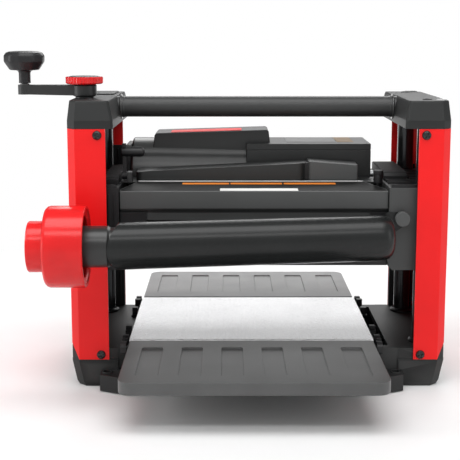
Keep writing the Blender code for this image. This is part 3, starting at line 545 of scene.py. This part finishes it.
def shade_strips():
    """Dark ribbed strips inside the infeed flanges of the side panels: painted shade for the dark inside of
    the channel.
    """
    depth = (119.5, 124.8)
    for side_name, side in SIDES.items():
        reach = sorted((side * (FLANGE_EDGE[side] + 0.5), side * 246))
        top = 305 if side < 0 else 276
        starts = [reach[0] + a for a in range(4, 38, 8)]
        ribs = [box((x, x + 2), (117.5, 120.5), (60, top - 5)) for x in starts]
        if side < 0:
            ribs.append(box((-204, -192), depth, (163, top)))
        shape = box(reach, depth, (BASE_TOP + 0.6, top))
        piece(f"shade_strip_{side_name}", shape, "frame", "black_plastic", 0.5, ribs, paint="cover_steel")


# Crank

CRANK_REACH = 81.0


def crank():
    """Tapered arm between a hub on the lead screw and a knuckle under the grip."""
    tip, high, hub_at = -LEAD_X - CRANK_REACH, 405.0, (-LEAD_X, LEAD_Y, 0)
    rim = [(12.5, CAP_TOP + 0.3), (12.5, 388.5), (16, 390), (16.6, 392), (16.6, high - 1.5), (15.6, high)]
    ends = []
    for x, half, bottom, top in ((tip, 8.2, 391.8, 404.5), (-LEAD_X, 11.5, 390.2, 404.6)):
        near, far = LEAD_Y - half, LEAD_Y + half
        ends.append([(x, near, bottom), (x, far, bottom), (x, far, top), (x, near, top)])
    knuckle = rod("Z", (tip, LEAD_Y, 0), 9.4, 391.6, 404.7, 64)
    bore = rod("Z", hub_at, 5.3, 380, 403.8)
    hub = turned(rim, "Z", hub_at, 96)
    piece("crank_lever", hub, "crank", "crank_metal", 0.9, [loft(ends), knuckle], [bore], ["crank_arm"])
    pin = [(0, 403), (6.2, 403), (6.2, 406.2), (4, 406.2), (4, 438), (0, 438)]
    piece("crank_pin", turned(pin, "Z", (tip, LEAD_Y, 0)), "crank", "crank_metal", 0.3, paint="rubbed_and_highlight")


def crank_disc():
    """Fluted red clamp with a dark centre."""
    at = (-LEAD_X, LEAD_Y, 0)
    rim = [(0, 405.4), (17, 405.4), (23.6, 405.9, 0.1), (25.2, 407.2, 0.6), (25.4, 408, 0.7),
           (25.4, 414.6, 0.7), (25, 415.4, 0.5), (21.5, 415.5), (20.5, 413.8), (0, 413.8)]
    disc = turned(rim, "Z", at, 216, lobes=36)
    piece("crank_clamp", disc, "crank", "red_plastic", 0.2, stands_for=["crank_lock_knob"])
    cap = [(0, 413.7), (20.2, 413.7), (20.2, 415.9), (18, 416.6), (0, 416.8)]
    piece("crank_clamp_cap", turned(cap, "Z", at), "crank", "black_plastic", 0.3)


def crank_grip():
    """Fluted drum on a flared stem."""
    at = (-LEAD_X - CRANK_REACH, LEAD_Y, 405.0)
    bore = [(0, 35), (4.4, 35), (4.4, 1.9)]
    stem = [(7.6, 1.9), (8.2, 2.6), (7.9, 4), (7.9, 15.5), (8.8, 17.7), (11, 19), (18.9, 19.6)]
    drum = [(20.3, 20.4, 0.1), (27.0, 30.2, 0.7), (27.5, 31.7, 0.8), (27.5, 38, 0.8), (26.9, 39.8, 0.7),
            (24.4, 42.9, 0.3), (20.5, 44.3), (12, 45), (0, 45)]
    shape = turned(bore + stem + drum, "Z", at, 160, lobes=10)
    piece("crank_grip", shape, "crank_handle", "black_plastic", 0.25, stands_for=["crank_knob"])


# Folding tables

TABLE_HALF = 164.0
PAD_STEP, PAD_DEPTH = 52.4, 2.2
RIB_STEP = 45


def table(name, owner, end):
    """Cast table with sunk pads on top and a ribbed underside."""
    low_x, high_x = BED_CENTRE - TABLE_HALF, BED_CENTRE + TABLE_HALF
    near, far = end * 129.0, end * 318.0
    corner, low, top, wall = 17.0, 49.0, BED_TOP, 5
    outline = [(low_x, near, 2), (high_x, near, 2), (high_x, far, corner), (low_x, far, corner)]
    neck, step, rim = near + end * wall, end * 150, far - end * wall
    below = [(low_x + 12, neck, 3), (high_x - 12, neck, 3), (high_x - 12, step, 2),
             (high_x - wall, step, 0), (high_x - wall, rim, 13), (low_x + wall, rim, 13),
             (low_x + wall, step, 0), (low_x + 12, step, 2)]
    cut = [prism(rounded(below), "Z", low - 1, top - 5)]
    for k in range(6):
        x = BED_CENTRE + (k - 2.5) * PAD_STEP
        plan = cushion_plan((x - 13.9, x + 13.9), sorted((end * 163.0, end * 290.0)), 4)
        cut.append(prism(plan, "Z", top - PAD_DEPTH, top + 1))
    for reach in ((low_x - 1, low_x + 9.5), (high_x - 9.5, high_x + 1)):
        cut.append(rod("X", (0, end * HINGE_Y, HINGE_Z), 3.1, *reach))
    # The far table gets the lighter copy of the cast grey: painted light from behind and above.
    tone = "table_near" if end < 0 else "table_far_painted_lit"
    shape = prism(rounded(outline, 12), "Z", low, top)
    piece(name + "_casting", shape, owner, "cast_grey", 0.55, cut=cut, stands_for=[name], paint=tone)
    for k in range(7):
        x = BED_CENTRE + (k - 3) * RIB_STEP
        rib = box((x - 1.5, x + 1.5), sorted((end * 134.5, end * 312.5)), (50.5, top - 4.5))
        piece(f"{name}_rib_{k}", rib, owner, "cast_grey", 0.3, paint="table_near")


# Head

HEAD_TOP = 270.0
MOTOR_YZ, CUTTER_YZ = (70.0, 266.0), (0.0, 185.5)
CHUTE_Z, CHUTE_R = 208.2, 30.1
CHUTE_LEFT, CHUTE_RIGHT = (-183.5, -202.0), (178.0, -142.0)
PORT_Y = -204.0
CHUTE_KNOB = (192, 0, 229.5)
SWITCH_PIN = (0, 138, 299)
FEED_Z = 228.8


def casting_details():
    """Vertical ribs on the left end casting and the stacked ridges on both."""
    for k in range(7):
        x = -240 + 7.6 * k
        piece(f"head_rib_{k}", box((x, x + 3), (-112.2, -109), (167, 262)), "head", "cover_steel", 0.5)
    for name, side, start in (("left", -1, 190.5), ("right", 1, 178)):
        for k in range(12):
            y = -108 + 18.5 * k
            covered = abs(y - 34) < 74 if side > 0 else abs(y) < 80
            near = 213.5 if covered else start
            far = 221 if abs(y - LEAD_Y) < 18 else 246
            at_column = abs(abs(y) - COLUMN_Y) <= 15
            if far - near > 5 and not at_column:
                outline = [(y, 269.5), (y + 5, 269.5), (y + 3.8, 274.2), (y + 0.6, 274.2)]
                ridge = prism(outline, "X", *sorted((side * near, side * far)))
                piece(f"ridge_{name}_{k}", ridge, "head", "cover_steel", 0.4, paint="black_plastic")


def ribs_across(starts, low, high, reach):
    """Tapered ribs along X, one from each start."""
    return [prism([(y, low), (y + 6, low), (y + 4.5, high), (y + 0.8, high)], "X", *reach) for y in starts]


def end_covers():
    """Stepped covers over the belt at the right and the feed gears at the left, and dark fillers that are
    painted shade inside the mouth.
    """
    right, left = (177.3, 209), (-212, -190.5)
    room = box((182, 205.5), (-33, 95), (260, 278.8))
    notch = rod("X", (0, *MOTOR_YZ), 8, 170, 184)
    ribs = ribs_across(range(-33, 92, 12), 280.5, 283, right)
    shape = prism([(-37, 270.3), (-37, 277), (-33, 281), (99, 281), (99, 270.3)], "X", *right)
    piece("belt_cover_shell", shape, "head", "black_plastic", 0.4, ribs, [room, notch], ["belt_cover"],
          "cover_steel")
    mount = rounded([(24, 270.3, 0), (24, 300, 10), (40, 313, 8), (112, 313, 6), (112, 270.3, 0)])
    piece("motor_mount", prism(mount, "X", -190.2, -182.3), "head", "cover_steel", 1.0)
    # Black plates inside the mouth: painted shade where the inside of the head is dark.
    for name, x in (("left", (-186.4, -151)), ("right", (151, 174.5))):
        piece(f"mouth_shade_filler_{name}", box(x, (-101.5, -98.8), (192.8, 236)), "head", "cover_steel", 0.4)
    ribs = ribs_across(range(-72, 66, 12), 276.5, 281, left)
    shape = box(left, (-75, 75), (270.3, 277))
    piece("gear_cover_shell", shape, "head", "black_plastic", 0.4, ribs, stands_for=["gear_cover"],
          paint="cover_steel")


def slope_z(y):
    """Height of the hood's upper face."""
    return 265 + 4.5 * (y + 105) / 65


def sticker(name, x, y, owner, slot, paint, height, lift=0.35):
    """Thin blank label that lies on a face whose height is given by height(x, y)."""
    plan = cushion_plan(x, y, 1.2)
    sections = [[(a, b, height(a, b) + up) for a, b in plan] for up in (-0.3, lift)]
    piece(name, loft(sections), owner, slot, 0.08, paint=paint)


def hood_labels():
    """Painted shade as a black sheet over the hood's upper face, blank labels, and a pale strip along its
    edge as a painted highlight.
    """
    def on_slope(_, y):
        return slope_z(y)

    for k, span in enumerate(((-104, -39.5), (-37.5, 34), (36, 108))):
        sticker(f"blank_stripe_{k}", span, (-60, -50), "head", "hood_paint", "label_orange", on_slope)
    # Painted shade: a black sheet over the upper face makes it darker than the front.
    plan = [(-185.5, -103.6), (173.6, -103.6), (173.6, -95.5), (148, -41.8), (-166.8, -41.8), (-185.5, -95)]
    shade_sheet = loft([[(x, y, slope_z(y) + up) for x, y in plan] for up in (-0.3, 0.12)])
    piece("hood_shade_sheet", shade_sheet, "head", "hood_paint", 0.05, paint="shade_black")
    sticker("blank_tag", (-51.7, 53.5), (-103.4, -88), "head", "hood_paint", "label_white", on_slope)
    # Painted highlight: a pale strip along the edge of the upper face.
    outline = [(-41.6, 269.3), (-41.6, 270.4), (-40.8, 270.9), (-39.6, 270.9), (-39.6, 269.3)]
    piece("hood_edge_highlight", prism(outline, "X", -166, 147.5), "head", "hood_paint", 0.15, paint="highlight_grey")


def duct_cover():
    """Two rounded covers over the chip channel, left one rising to the right."""
    floor, ceiling, back = HEAD_TOP - 0.2, 330, 9
    plan = rounded([(-170, -34, 9), (68, -34, 13), (68, back, 0), (-170, back, 0)])
    above = prism([(-175, 281), (-150, 284), (70, 294.8), (70, ceiling), (-175, ceiling)], "Y", -60, 40)
    below = prism([(-166, 262), (-166, 279), (60, 291), (64, 262)], "Y", -29, 6)
    piece("duct_cover_left", prism(plan, "Z", floor, 320), "head", "dark_plastic", 1.6, cut=[above, below],
          stands_for=["duct_cover"], angle=25)
    plan = rounded([(72, -30, 5), (141.5, -30, 2), (141.5, back, 0), (72, back, 0)])
    above = prism([(60, 297.2), (76, 296.6), (150, 291.0), (150, ceiling), (60, ceiling)], "Y", -60, 40)
    piece("duct_cover_right", prism(plan, "Z", floor, 320), "head", "dark_plastic", 1.0, cut=[above],
          angle=25, paint="hood_paint")
    fold = rounded([(66, -26, 0), (74, -26, 0), (74, back, 0), (66, back, 0)])
    piece("duct_cover_fold", prism(fold, "Z", floor, 294.5), "head", "black_plastic", 0.5)


def motor_housing():
    """Motor shell with a flanged end cap, cooling holes and the raised block along its top."""
    y, z = MOTOR_YZ
    shell = [(0, -182), (49, -182), (53.8, -180.6), (55.4, -178.4), (55.4, -149),
             (52.5, -14.3), (49.5, -14.3), (49.5, -174), (0, -176)]
    vents = []
    for k in range(16):
        turn = 2 * pi * k / 16
        vents.append(rod("X", (0, y + 34 * cos(turn), z + 34 * sin(turn)), 3.4, -190, -170, 20))
    piece("motor_shell", turned(shell, "X", (0, y, z), 128), "head", "dark_plastic", 0.7, cut=vents,
          stands_for=["motor_housing"], paint="motor_plastic")
    outline = rounded([(-151.5, 300, 0), (-147.5, 330.5, 5), (18, 335.5, 4), (22, 300, 0)])
    hollow = rod("X", (0, y, z), 50, -160, 30, 64)
    piece("motor_block", prism(outline, "Y", 36, 104), "head", "dark_plastic", 2.2, cut=[hollow], angle=35)

    def on_block(x, _):
        return 330.7 + 5 * (x + 146) / 164

    sticker("blank_red_stripe", (-124, -21), (39.5, 74), "head", "dark_plastic", "label_red", on_block, 0.5)


def drive_box():
    """Drive case with a lid seam and two grooves in its infeed wall."""
    wall, seam = 3, (307.2, 308.2)
    x0, x1, y0, y1, z0, z1 = -13.9, 165.0, 18.0, 124.0, 213.3, 316.6
    motor = (0, *MOTOR_YZ)
    cut = [
        box((x0 + wall, x1 - wall), (y0 + wall, y1 - wall), (z0 - 5, z1 - wall)),
        rod("X", motor, 30, -20, 0),
        rod("X", motor, 8, 160, 175),
    ]
    cut += [box((60 + 9 * k, 64 + 9 * k), (y1 - 1.2, y1 + 2), (236, 292)) for k in range(2)]
    cut += [
        box((x0 - 1, x1 + 1), (y0 - 1, y0 + 0.6), seam),
        box((x1 - 0.6, x1 + 1), (y0 - 1, y1 + 1), seam),
        box((x0 - 1, x1 + 1), (y1 - 0.6, y1 + 1), seam),
    ]
    shape = box((x0, x1), (y0, y1), (z0, z1))
    piece("drive_case", shape, "head", "dark_plastic", 1.0, cut=cut, stands_for=["drive_box"])

    def on_top(*_):
        return z1

    depth = (44, 120)
    sticker("blank_plate", (45, 117), depth, "head", "dark_plastic", "label_grey", on_top)
    sticker("blank_plate_end", (118.5, 143), depth, "head", "dark_plastic", "label_amber", on_top)


def chute_y(x):
    """Where the slanting tube's centre line is at x."""
    (x0, y0), (x1, y1) = CHUTE_LEFT, CHUTE_RIGHT
    return y0 + (y1 - y0) * (x - x0) / (x1 - x0)


def chute_ring(x, radius, steps=96):
    """Section of the slanting tube at x."""
    turns = [2 * pi * k / steps for k in range(steps)]
    return [(x, chute_y(x) + radius * cos(a), CHUTE_Z + radius * sin(a)) for a in turns]


def saddle(x, bulge):
    """Cutter that leaves the tube's end hollowed: its sides reach further towards -X than its top."""
    shares = [(k - 12) / 10 for k in range(25)]
    curve = [(x - bulge * t * t, chute_y(x - bulge * t * t) + CHUTE_R * t) for t in shares]
    outline = [(x - 70, curve[0][1])] + curve + [(x - 70, curve[-1][1])]
    return prism(outline, "Z", CHUTE_Z - 40, CHUTE_Z + 40)


def dust_chute():
    """Slanting tube with a saddle-cut open end, a domed end and the duct behind it."""
    left, right, bulge = -178.4, CHUTE_RIGHT[0], 13.0
    dome = [(20, 0.0), (12, 0.9), (7, 2.6), (3.4, 5.6), (1.2, 9.5), (0.2, 14.1), (0, 18)]
    rings = [chute_ring(left - 25, CHUTE_R)]
    rings += [chute_ring(right - back, CHUTE_R - drop) for back, drop in dome]
    bore = CHUTE_R - 2.8
    hollow = ((left - 40, bore), (right - 22, bore), (right - 15, bore - 4))
    inside = loft([chute_ring(x, radius) for x, radius in hollow])
    half, duct_back = 150.0, -98.6
    duct = [(-half, duct_back), (half, duct_back), (half, chute_y(half) + 8), (-half, chute_y(-half) + 8)]
    lug = rounded([(160, 214, 0), (171, 238, 5), (197, 238, 7), (200, 222, 6), (184, 212, 0)], 6)
    add = [
        prism(duct, "Z", 193.2, 223.2),
        prism(lug, "Y", -115.5, -111.5),
        box((160, 174), (-125, -111.5), (216, 228)),
    ]
    cut = [inside, saddle(left, bulge), rod("Y", CHUTE_KNOB, 3.4, -118, -110)]
    piece("dust_tube", loft(rings), "head", "dark_plastic", 0.5, add, cut, ["dust_chute"],
          paint="tube_plastic", angle=35)


def chute_adapter():
    """Sleeve between the hose collar and the tube, stepped down where the tube covers it."""
    profile = [(23.0, -266), (26.4, -266), (26.4, -192), (24.4, -189), (24.4, -176), (22.0, -176)]
    shape = turned(profile, "X", (0, PORT_Y, CHUTE_Z), 96, ring=True)
    piece("adapter_sleeve", shape, "head", "dark_plastic", 0.3, stands_for=["chute_adapter"],
          paint="motor_plastic")


def dust_port():
    """Hose collar: a stub at the left, a round-shouldered drum and a deep open mouth."""
    stub = [(29.0, -293), (31.6, -292.6), (32.5, -291), (32.5, -271.6)]
    drum = [(44.5, -271.0), (48.6, -269.9), (51.0, -267.4), (52.0, -263.6), (52.0, -222), (51.6, -219.9),
            (50.6, -219.3)]
    bore = [(47.6, -219.3), (46.8, -220.6), (39.4, -221.6), (38.6, -223), (38.0, -247), (26.8, -247),
            (26.8, -266), (29.0, -272)]
    shape = turned(stub + drum + bore, "X", (0, PORT_Y, CHUTE_Z), 160, ring=True)
    piece("dust_collar", shape, "head", "red_plastic", 0.2, stands_for=["dust_port"])


def lock():
    """Cutterhead lock: a thin lever with a side grip, in a small open bracket."""
    x, y, z = -184, -50, 279
    block = box((x - 5.3, x + 10.5), (y - 8, y + 8), (270.3, z + 6))
    slot = box((x - 3.6, x + 3.6), (y - 10, y + 10), (z - 6, z + 11))
    piece("lock_fork", block, "head", "black_steel", 0.6, cut=[slot], stands_for=["lock_bracket"])
    pivot = (0, y, z)
    pin = [(0, x - 6.6), (3.6, x - 6.6), (3.6, x - 5.2), (2, x - 5.2), (2, x + 5), (0, x + 5)]
    piece("lock_pin", turned(pin, "X", pivot), "head", "black_steel", 0.2, paint="rubbed_and_highlight")
    blade = [(y - 3, z + 2), (y + 3, z + 2), (y + 2.2, z + 45), (y - 0.6, z + 45), (y - 2.4, z + 38)]
    finger = box((x - 2.6, x + 1), (y - 4.5, y + 1), (z + 40, z + 45))
    add = [prism(blade, "X", x - 2.4, x + 2.4), finger]
    bore = rod("X", pivot, 2.4, x - 6, x + 6)
    hub = rod("X", pivot, 5.5, x - 3.1, x + 3.1)
    piece("lock_blade", hub, "lock_lever", "black_plastic", 0.5, add, [bore], ["lock_lever"])
    grip = [(0, -4), (5.4, -4), (6.1, -3), (6.1, 1), (6.5, 2.2), (6.5, 22), (5.9, 25.2), (3.8, 27.6),
            (0, 28)]
    shape = turned([(r, x + along) for r, along in grip], "X", (0, y, z + 33), 72)
    piece("lock_grip", shape, "lock_lever", "black_plastic", 0.3)
    low, high = z + 38, z + 40.4
    crest = rounded([(y - 1.1, low, 0), (y + 1.1, low, 0), (y + 1.1, high, 0.5), (y - 1.1, high, 0.5)])
    piece("lock_grip_ridge", prism(crest, "X", x + 3, x + 24), "lock_lever", "black_plastic", 0.3)


def knobs():
    """Fluted screw knobs on the chute's lug and on the hood."""
    profile = [(0, -107), (3, -107), (3, -116.3), (9.2, -116.3), (10.3, -117.2), (10.3, -123), (9.6, -124),
               (0, -124)]
    shape = turned(profile, "Y", CHUTE_KNOB, 144, lobes=36)
    piece("chute_screw_knob", shape, "chute_knob", "cast_grey", 0.3, stands_for=["chute_knob"],
          paint="knob_grey")
    profile = [(0, 262), (2.5, 262), (2.5, 270.6), (6.2, 270.6), (6.4, 271.4), (6.4, 280.6), (5.9, 281.2),
               (6.7, 281.8, 0.4), (6.7, 286.6, 0.4), (5.8, 288), (0, 288)]
    shape = turned(profile, "Z", (166, -60, 0), 120, lobes=20)
    piece("hood_screw_knob", shape, "hood_knob", "black_plastic", 0.25, stands_for=["hood_knob"])


def toothed(count, outer, root, at, low, high):
    """Spur gear as one prism along X."""
    y, z = at
    points = []
    for k in range(count * 4):
        turn = 2 * pi * (k + 0.5) / (count * 4)
        radius = outer if k % 4 in (0, 1) else root
        points.append((y + radius * cos(turn), z + radius * sin(turn)))
    return prism(points, "X", low, high)


def pulley(radius, depth):
    """End of a shaft's profile: the flanges and groove of its belt pulley."""
    groove = radius - depth
    return [(radius, 184.5), (groove, 185), (groove, 194.5), (radius, 195), (radius, 196.5), (0, 196.5)]


def head_drive():
    """Turning pieces of the head."""
    y, z = CUTTER_YZ
    drum = [(0, -201), (5, -201), (5, -191.5), (8, -191.5), (8, -172), (22.5, -172), (22.5, 154), (8, 154),
            (8, 183), (20, 183)]
    slots = []
    for side in (1, -1):
        depth = sorted((side * -0.3, side * 2.7))
        slots.append(box((-173, 155), depth, sorted((z + side * 12.7, z + side * 30))))
    shape = turned(drum + pulley(20, 1.4), "X", (0, y, z), 72)
    piece("cutter_drum", shape, "cutterhead", "drum_steel", 0.3, cut=slots, stands_for=["cutterhead"])
    gear = toothed(48, 38, 35.6, (0, FEED_Z), -200, -194.5)
    shaft = [(0, -211), (4, -211), (4, -208), (6, -208), (6, -194.5), (4, -194.5), (4, -188), (0, -188)]
    axle = turned(shaft, "X", (0, 0, FEED_Z))
    angles = [k * pi / 3 for k in range(6)]
    holes = [rod("X", (0, 22 * cos(a), FEED_Z + 22 * sin(a)), 6, -205, -190, 32) for a in angles]
    piece("feed_wheel", gear, "feed_gear", "chain_steel", 0.2, [axle], holes, ["feed_gear"])
    roller = [(0, -208), (17, -208), (17, -202.5), (6, -202.5), (6, -172), (18.2, -172), (19, -171),
              (19, 153), (18.2, 154), (6, 154), (6, 178.5), (0, 178.5)]
    for name, end in (("infeed_roller", 1), ("outfeed_roller", -1)):
        shape = turned(roller, "X", (0, end * 50, 179.5), 64)
        piece(name + "_sleeve", shape, name, "belt_rubber", 0.3, stands_for=[name])
    core = [(0, -172), (6, -172), (6, -150), (28, -150), (28, -45), (6, -45), (6, 183), (10, 183)]
    shape = turned(core + pulley(10, 1.2), "X", (0, *MOTOR_YZ), 64)
    piece("motor_core", shape, "motor", "drum_steel", 0.3, stands_for=["motor_rotor"])


def switch():
    """Rocker switch with a guard frame, and the ribbed cord gland beside it."""
    cheeks = [box(x, (126, 142), (290, 306)) for x in ((95, 99), (141, 145))]
    hole = rod("X", SWITCH_PIN, 1.8, 93, 147)
    plate = prism(cushion_plan((95, 145), (256, 306), 3), "Y", 124.3, 132)
    piece("switch_frame", plate, "head", "black_plastic", 0.6, cheeks, [hole], ["switch_housing"])
    outline = rounded([(136, 262, 1), (139.5, 262, 1), (141, 284, 2), (141, 302, 1), (135.8, 302, 1)], 4)
    grooves = [box((105, 135), (140, 143), (266 + 4 * k, 267.6 + 4 * k)) for k in range(5)]
    pin = rod("X", SWITCH_PIN, 1.5, 96, 144)
    rocker = prism(outline, "X", 99.5, 140.5)
    piece("switch_rocker", rocker, "switch_paddle", "red_plastic", 0.4, [pin], grooves, ["switch_paddle"])
    rings = [(4.5, 124.3), (11, 124.3), (11, 127)]
    for k in range(5):
        start, radius = 127 + 2.5 * k, 8.5 - 0.3 * k
        rings += [(radius, start), (radius, start + 1.4)]
        rings += [(radius - 1.1, start + 1.5), (radius - 1.1, start + 2.4)]
    rings += [(6.4, 140), (4.5, 140)]
    sleeve = turned(rings, "Y", (30, 0, 275), 64, ring=True)
    piece("gland_sleeve", sleeve, "head", "black_plastic", 0.15, stands_for=["cord_gland"])


SOFT = {"cap_left": 1.2, "cap_right": 1.2, "base": 1.4, "hood_panel": 1.2, "lift_chain": 0.2,
        "feed_chain": 0.2, "drive_belt": 0.3, "knife_upper": 0.1, "knife_lower": 0.1}
# The right head end gets a lighter grey than the left: painted light.
TONE_OF = {"head_end_left": "cover_steel", "head_end_right": "casting_right_painted_lit",
           "head_deck": "dark_plastic", "outfeed_guard": "cover_steel"}


def dress_nodes():
    """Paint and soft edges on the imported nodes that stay."""
    for name, thing in frame["nodes"].items():
        if thing.hide_render:
            continue
        thing.data.materials.clear()
        thing.data.materials.append(PAINT[TONE_OF.get(name, SLOT_OF[name])])
        soften(thing, SOFT.get(name, 0.8), 9 if name.startswith("cap") else 28)


# Studio, in metres

LENS, SENSOR = 88.67, 36
CAMERA_AT, CAMERA_TURN = (-0.0408, -1.611, 0.475), (80.1, 0, -0.096)
MIDDLE = (0, 0, 0.2)
FRONT_LIGHT, BACK_LIGHT = 0.72, 0.15
FLOOR_RADIUS, FLOOR_GAP, FADE = 14, 0.0005, (0.45, 1.0)
# Place, size and watts of each lamp.
LAMPS = {
    "above": ((0.0, -0.45, 1.65), (1.7, 0.8), 16),
    "front": ((0.0, -1.15, 1.25), (1.8, 0.25), 6),
    "behind_low": ((0.0, 0.95, 0.27), (1.3, 0.3), 1.25),
    "left": ((-1.7, -0.3, 0.7), (0.4, 1.2), 9),
    "right": ((1.7, -0.9, 0.7), (0.5, 1.2), 3),
    "behind": ((0.2, 1.5, 1.3), (1.6, 0.8), 16),
}


def camera():
    data = bpy.data.cameras.new("camera")
    data.lens = LENS
    data.sensor_width = SENSOR
    data.clip_end = 50
    view = bpy.data.objects.new("camera", data)
    view.location = CAMERA_AT
    view.rotation_euler = [radians(turn) for turn in CAMERA_TURN]
    bpy.context.scene.collection.objects.link(view)
    bpy.context.scene.camera = view


def lamp(name, place, size, power):
    """Area lamp that faces the object's middle."""
    data = bpy.data.lights.new(name, "AREA")
    data.shape = "RECTANGLE"
    data.size, data.size_y = size
    data.energy = power
    thing = bpy.data.objects.new(name, data)
    thing.location = place
    thing.visible_camera = False
    thing.rotation_euler = (Vector(MIDDLE) - Vector(place)).to_track_quat("-Z", "Y").to_euler()
    bpy.context.scene.collection.objects.link(thing)


def sky():
    """White room that gives less light from behind the object than from in front of it."""
    world = bpy.data.worlds.new("studio")
    world.use_nodes = True
    tree = world.node_tree
    place = tree.nodes.new("ShaderNodeTexCoord").outputs["Generated"]
    parts = tree.nodes.new("ShaderNodeSeparateXYZ")
    tree.links.new(place, parts.inputs[0])
    level = tree.nodes.new("ShaderNodeMapRange")
    tree.links.new(parts.outputs["Y"], level.inputs["Value"])
    level.inputs["From Min"].default_value = -1
    level.inputs["From Max"].default_value = 1
    level.inputs["To Min"].default_value = FRONT_LIGHT
    level.inputs["To Max"].default_value = BACK_LIGHT
    path = tree.nodes.new("ShaderNodeLightPath").outputs["Is Camera Ray"]
    seen = tree.nodes.new("ShaderNodeMix")
    tree.links.new(path, seen.inputs[0])
    tree.links.new(level.outputs[0], seen.inputs[2])
    seen.inputs[3].default_value = 1.0
    background = tree.nodes["Background"]
    background.inputs["Color"].default_value = (1, 1, 1, 1)
    tree.links.new(seen.outputs[0], background.inputs["Strength"])
    bpy.context.scene.world = world


def floor():
    """Pale floor that fades into the white of the room away from the object."""
    bm = bmesh.new()
    bmesh.ops.create_circle(bm, cap_ends=True, radius=FLOOR_RADIUS, segments=96)
    mesh = bpy.data.meshes.new("floor")
    bm.to_mesh(mesh)
    bm.free()
    ground = bpy.data.objects.new("floor", mesh)
    ground.location.z = -FLOOR_GAP
    material = PAINT["floor_paint"]
    tree = material.node_tree
    place = tree.nodes.new("ShaderNodeTexCoord").outputs["Object"]
    away = tree.nodes.new("ShaderNodeVectorMath")
    away.operation = "LENGTH"
    tree.links.new(place, away.inputs[0])
    glow = tree.nodes.new("ShaderNodeEmission")
    blend = tree.nodes.new("ShaderNodeMixShader")
    tree.links.new(ramp(tree, away.outputs["Value"], FADE, 0, 1), blend.inputs[0])
    tree.links.new(tree.nodes["Principled BSDF"].outputs[0], blend.inputs[1])
    tree.links.new(glow.outputs[0], blend.inputs[2])
    tree.links.new(blend.outputs[0], tree.nodes["Material Output"].inputs["Surface"])
    mesh.materials.append(material)
    bpy.context.scene.collection.objects.link(ground)


def studio():
    bpy.context.scene.view_settings.view_transform = "Standard"
    sky()
    floor()
    for name, (place, size, power) in LAMPS.items():
        lamp(name, place, size, power)


def build():
    for name, side in SIDES.items():
        side_panel(f"side_panel_{name}", side)
    panel_screws()
    columns()
    lead_screws()
    cap_details()
    carry_bar()
    bed_plate()
    clips()
    ear_bosses()
    shade_strips()
    crank()
    crank_disc()
    crank_grip()
    table("outfeed_table", "outfeed_table", -1)
    table("infeed_table", "infeed_table", 1)
    casting_details()
    end_covers()
    hood_labels()
    duct_cover()
    motor_housing()
    drive_box()
    dust_chute()
    chute_adapter()
    dust_port()
    lock()
    knobs()
    head_drive()
    switch()
    dress_nodes()


camera()
studio()
build()
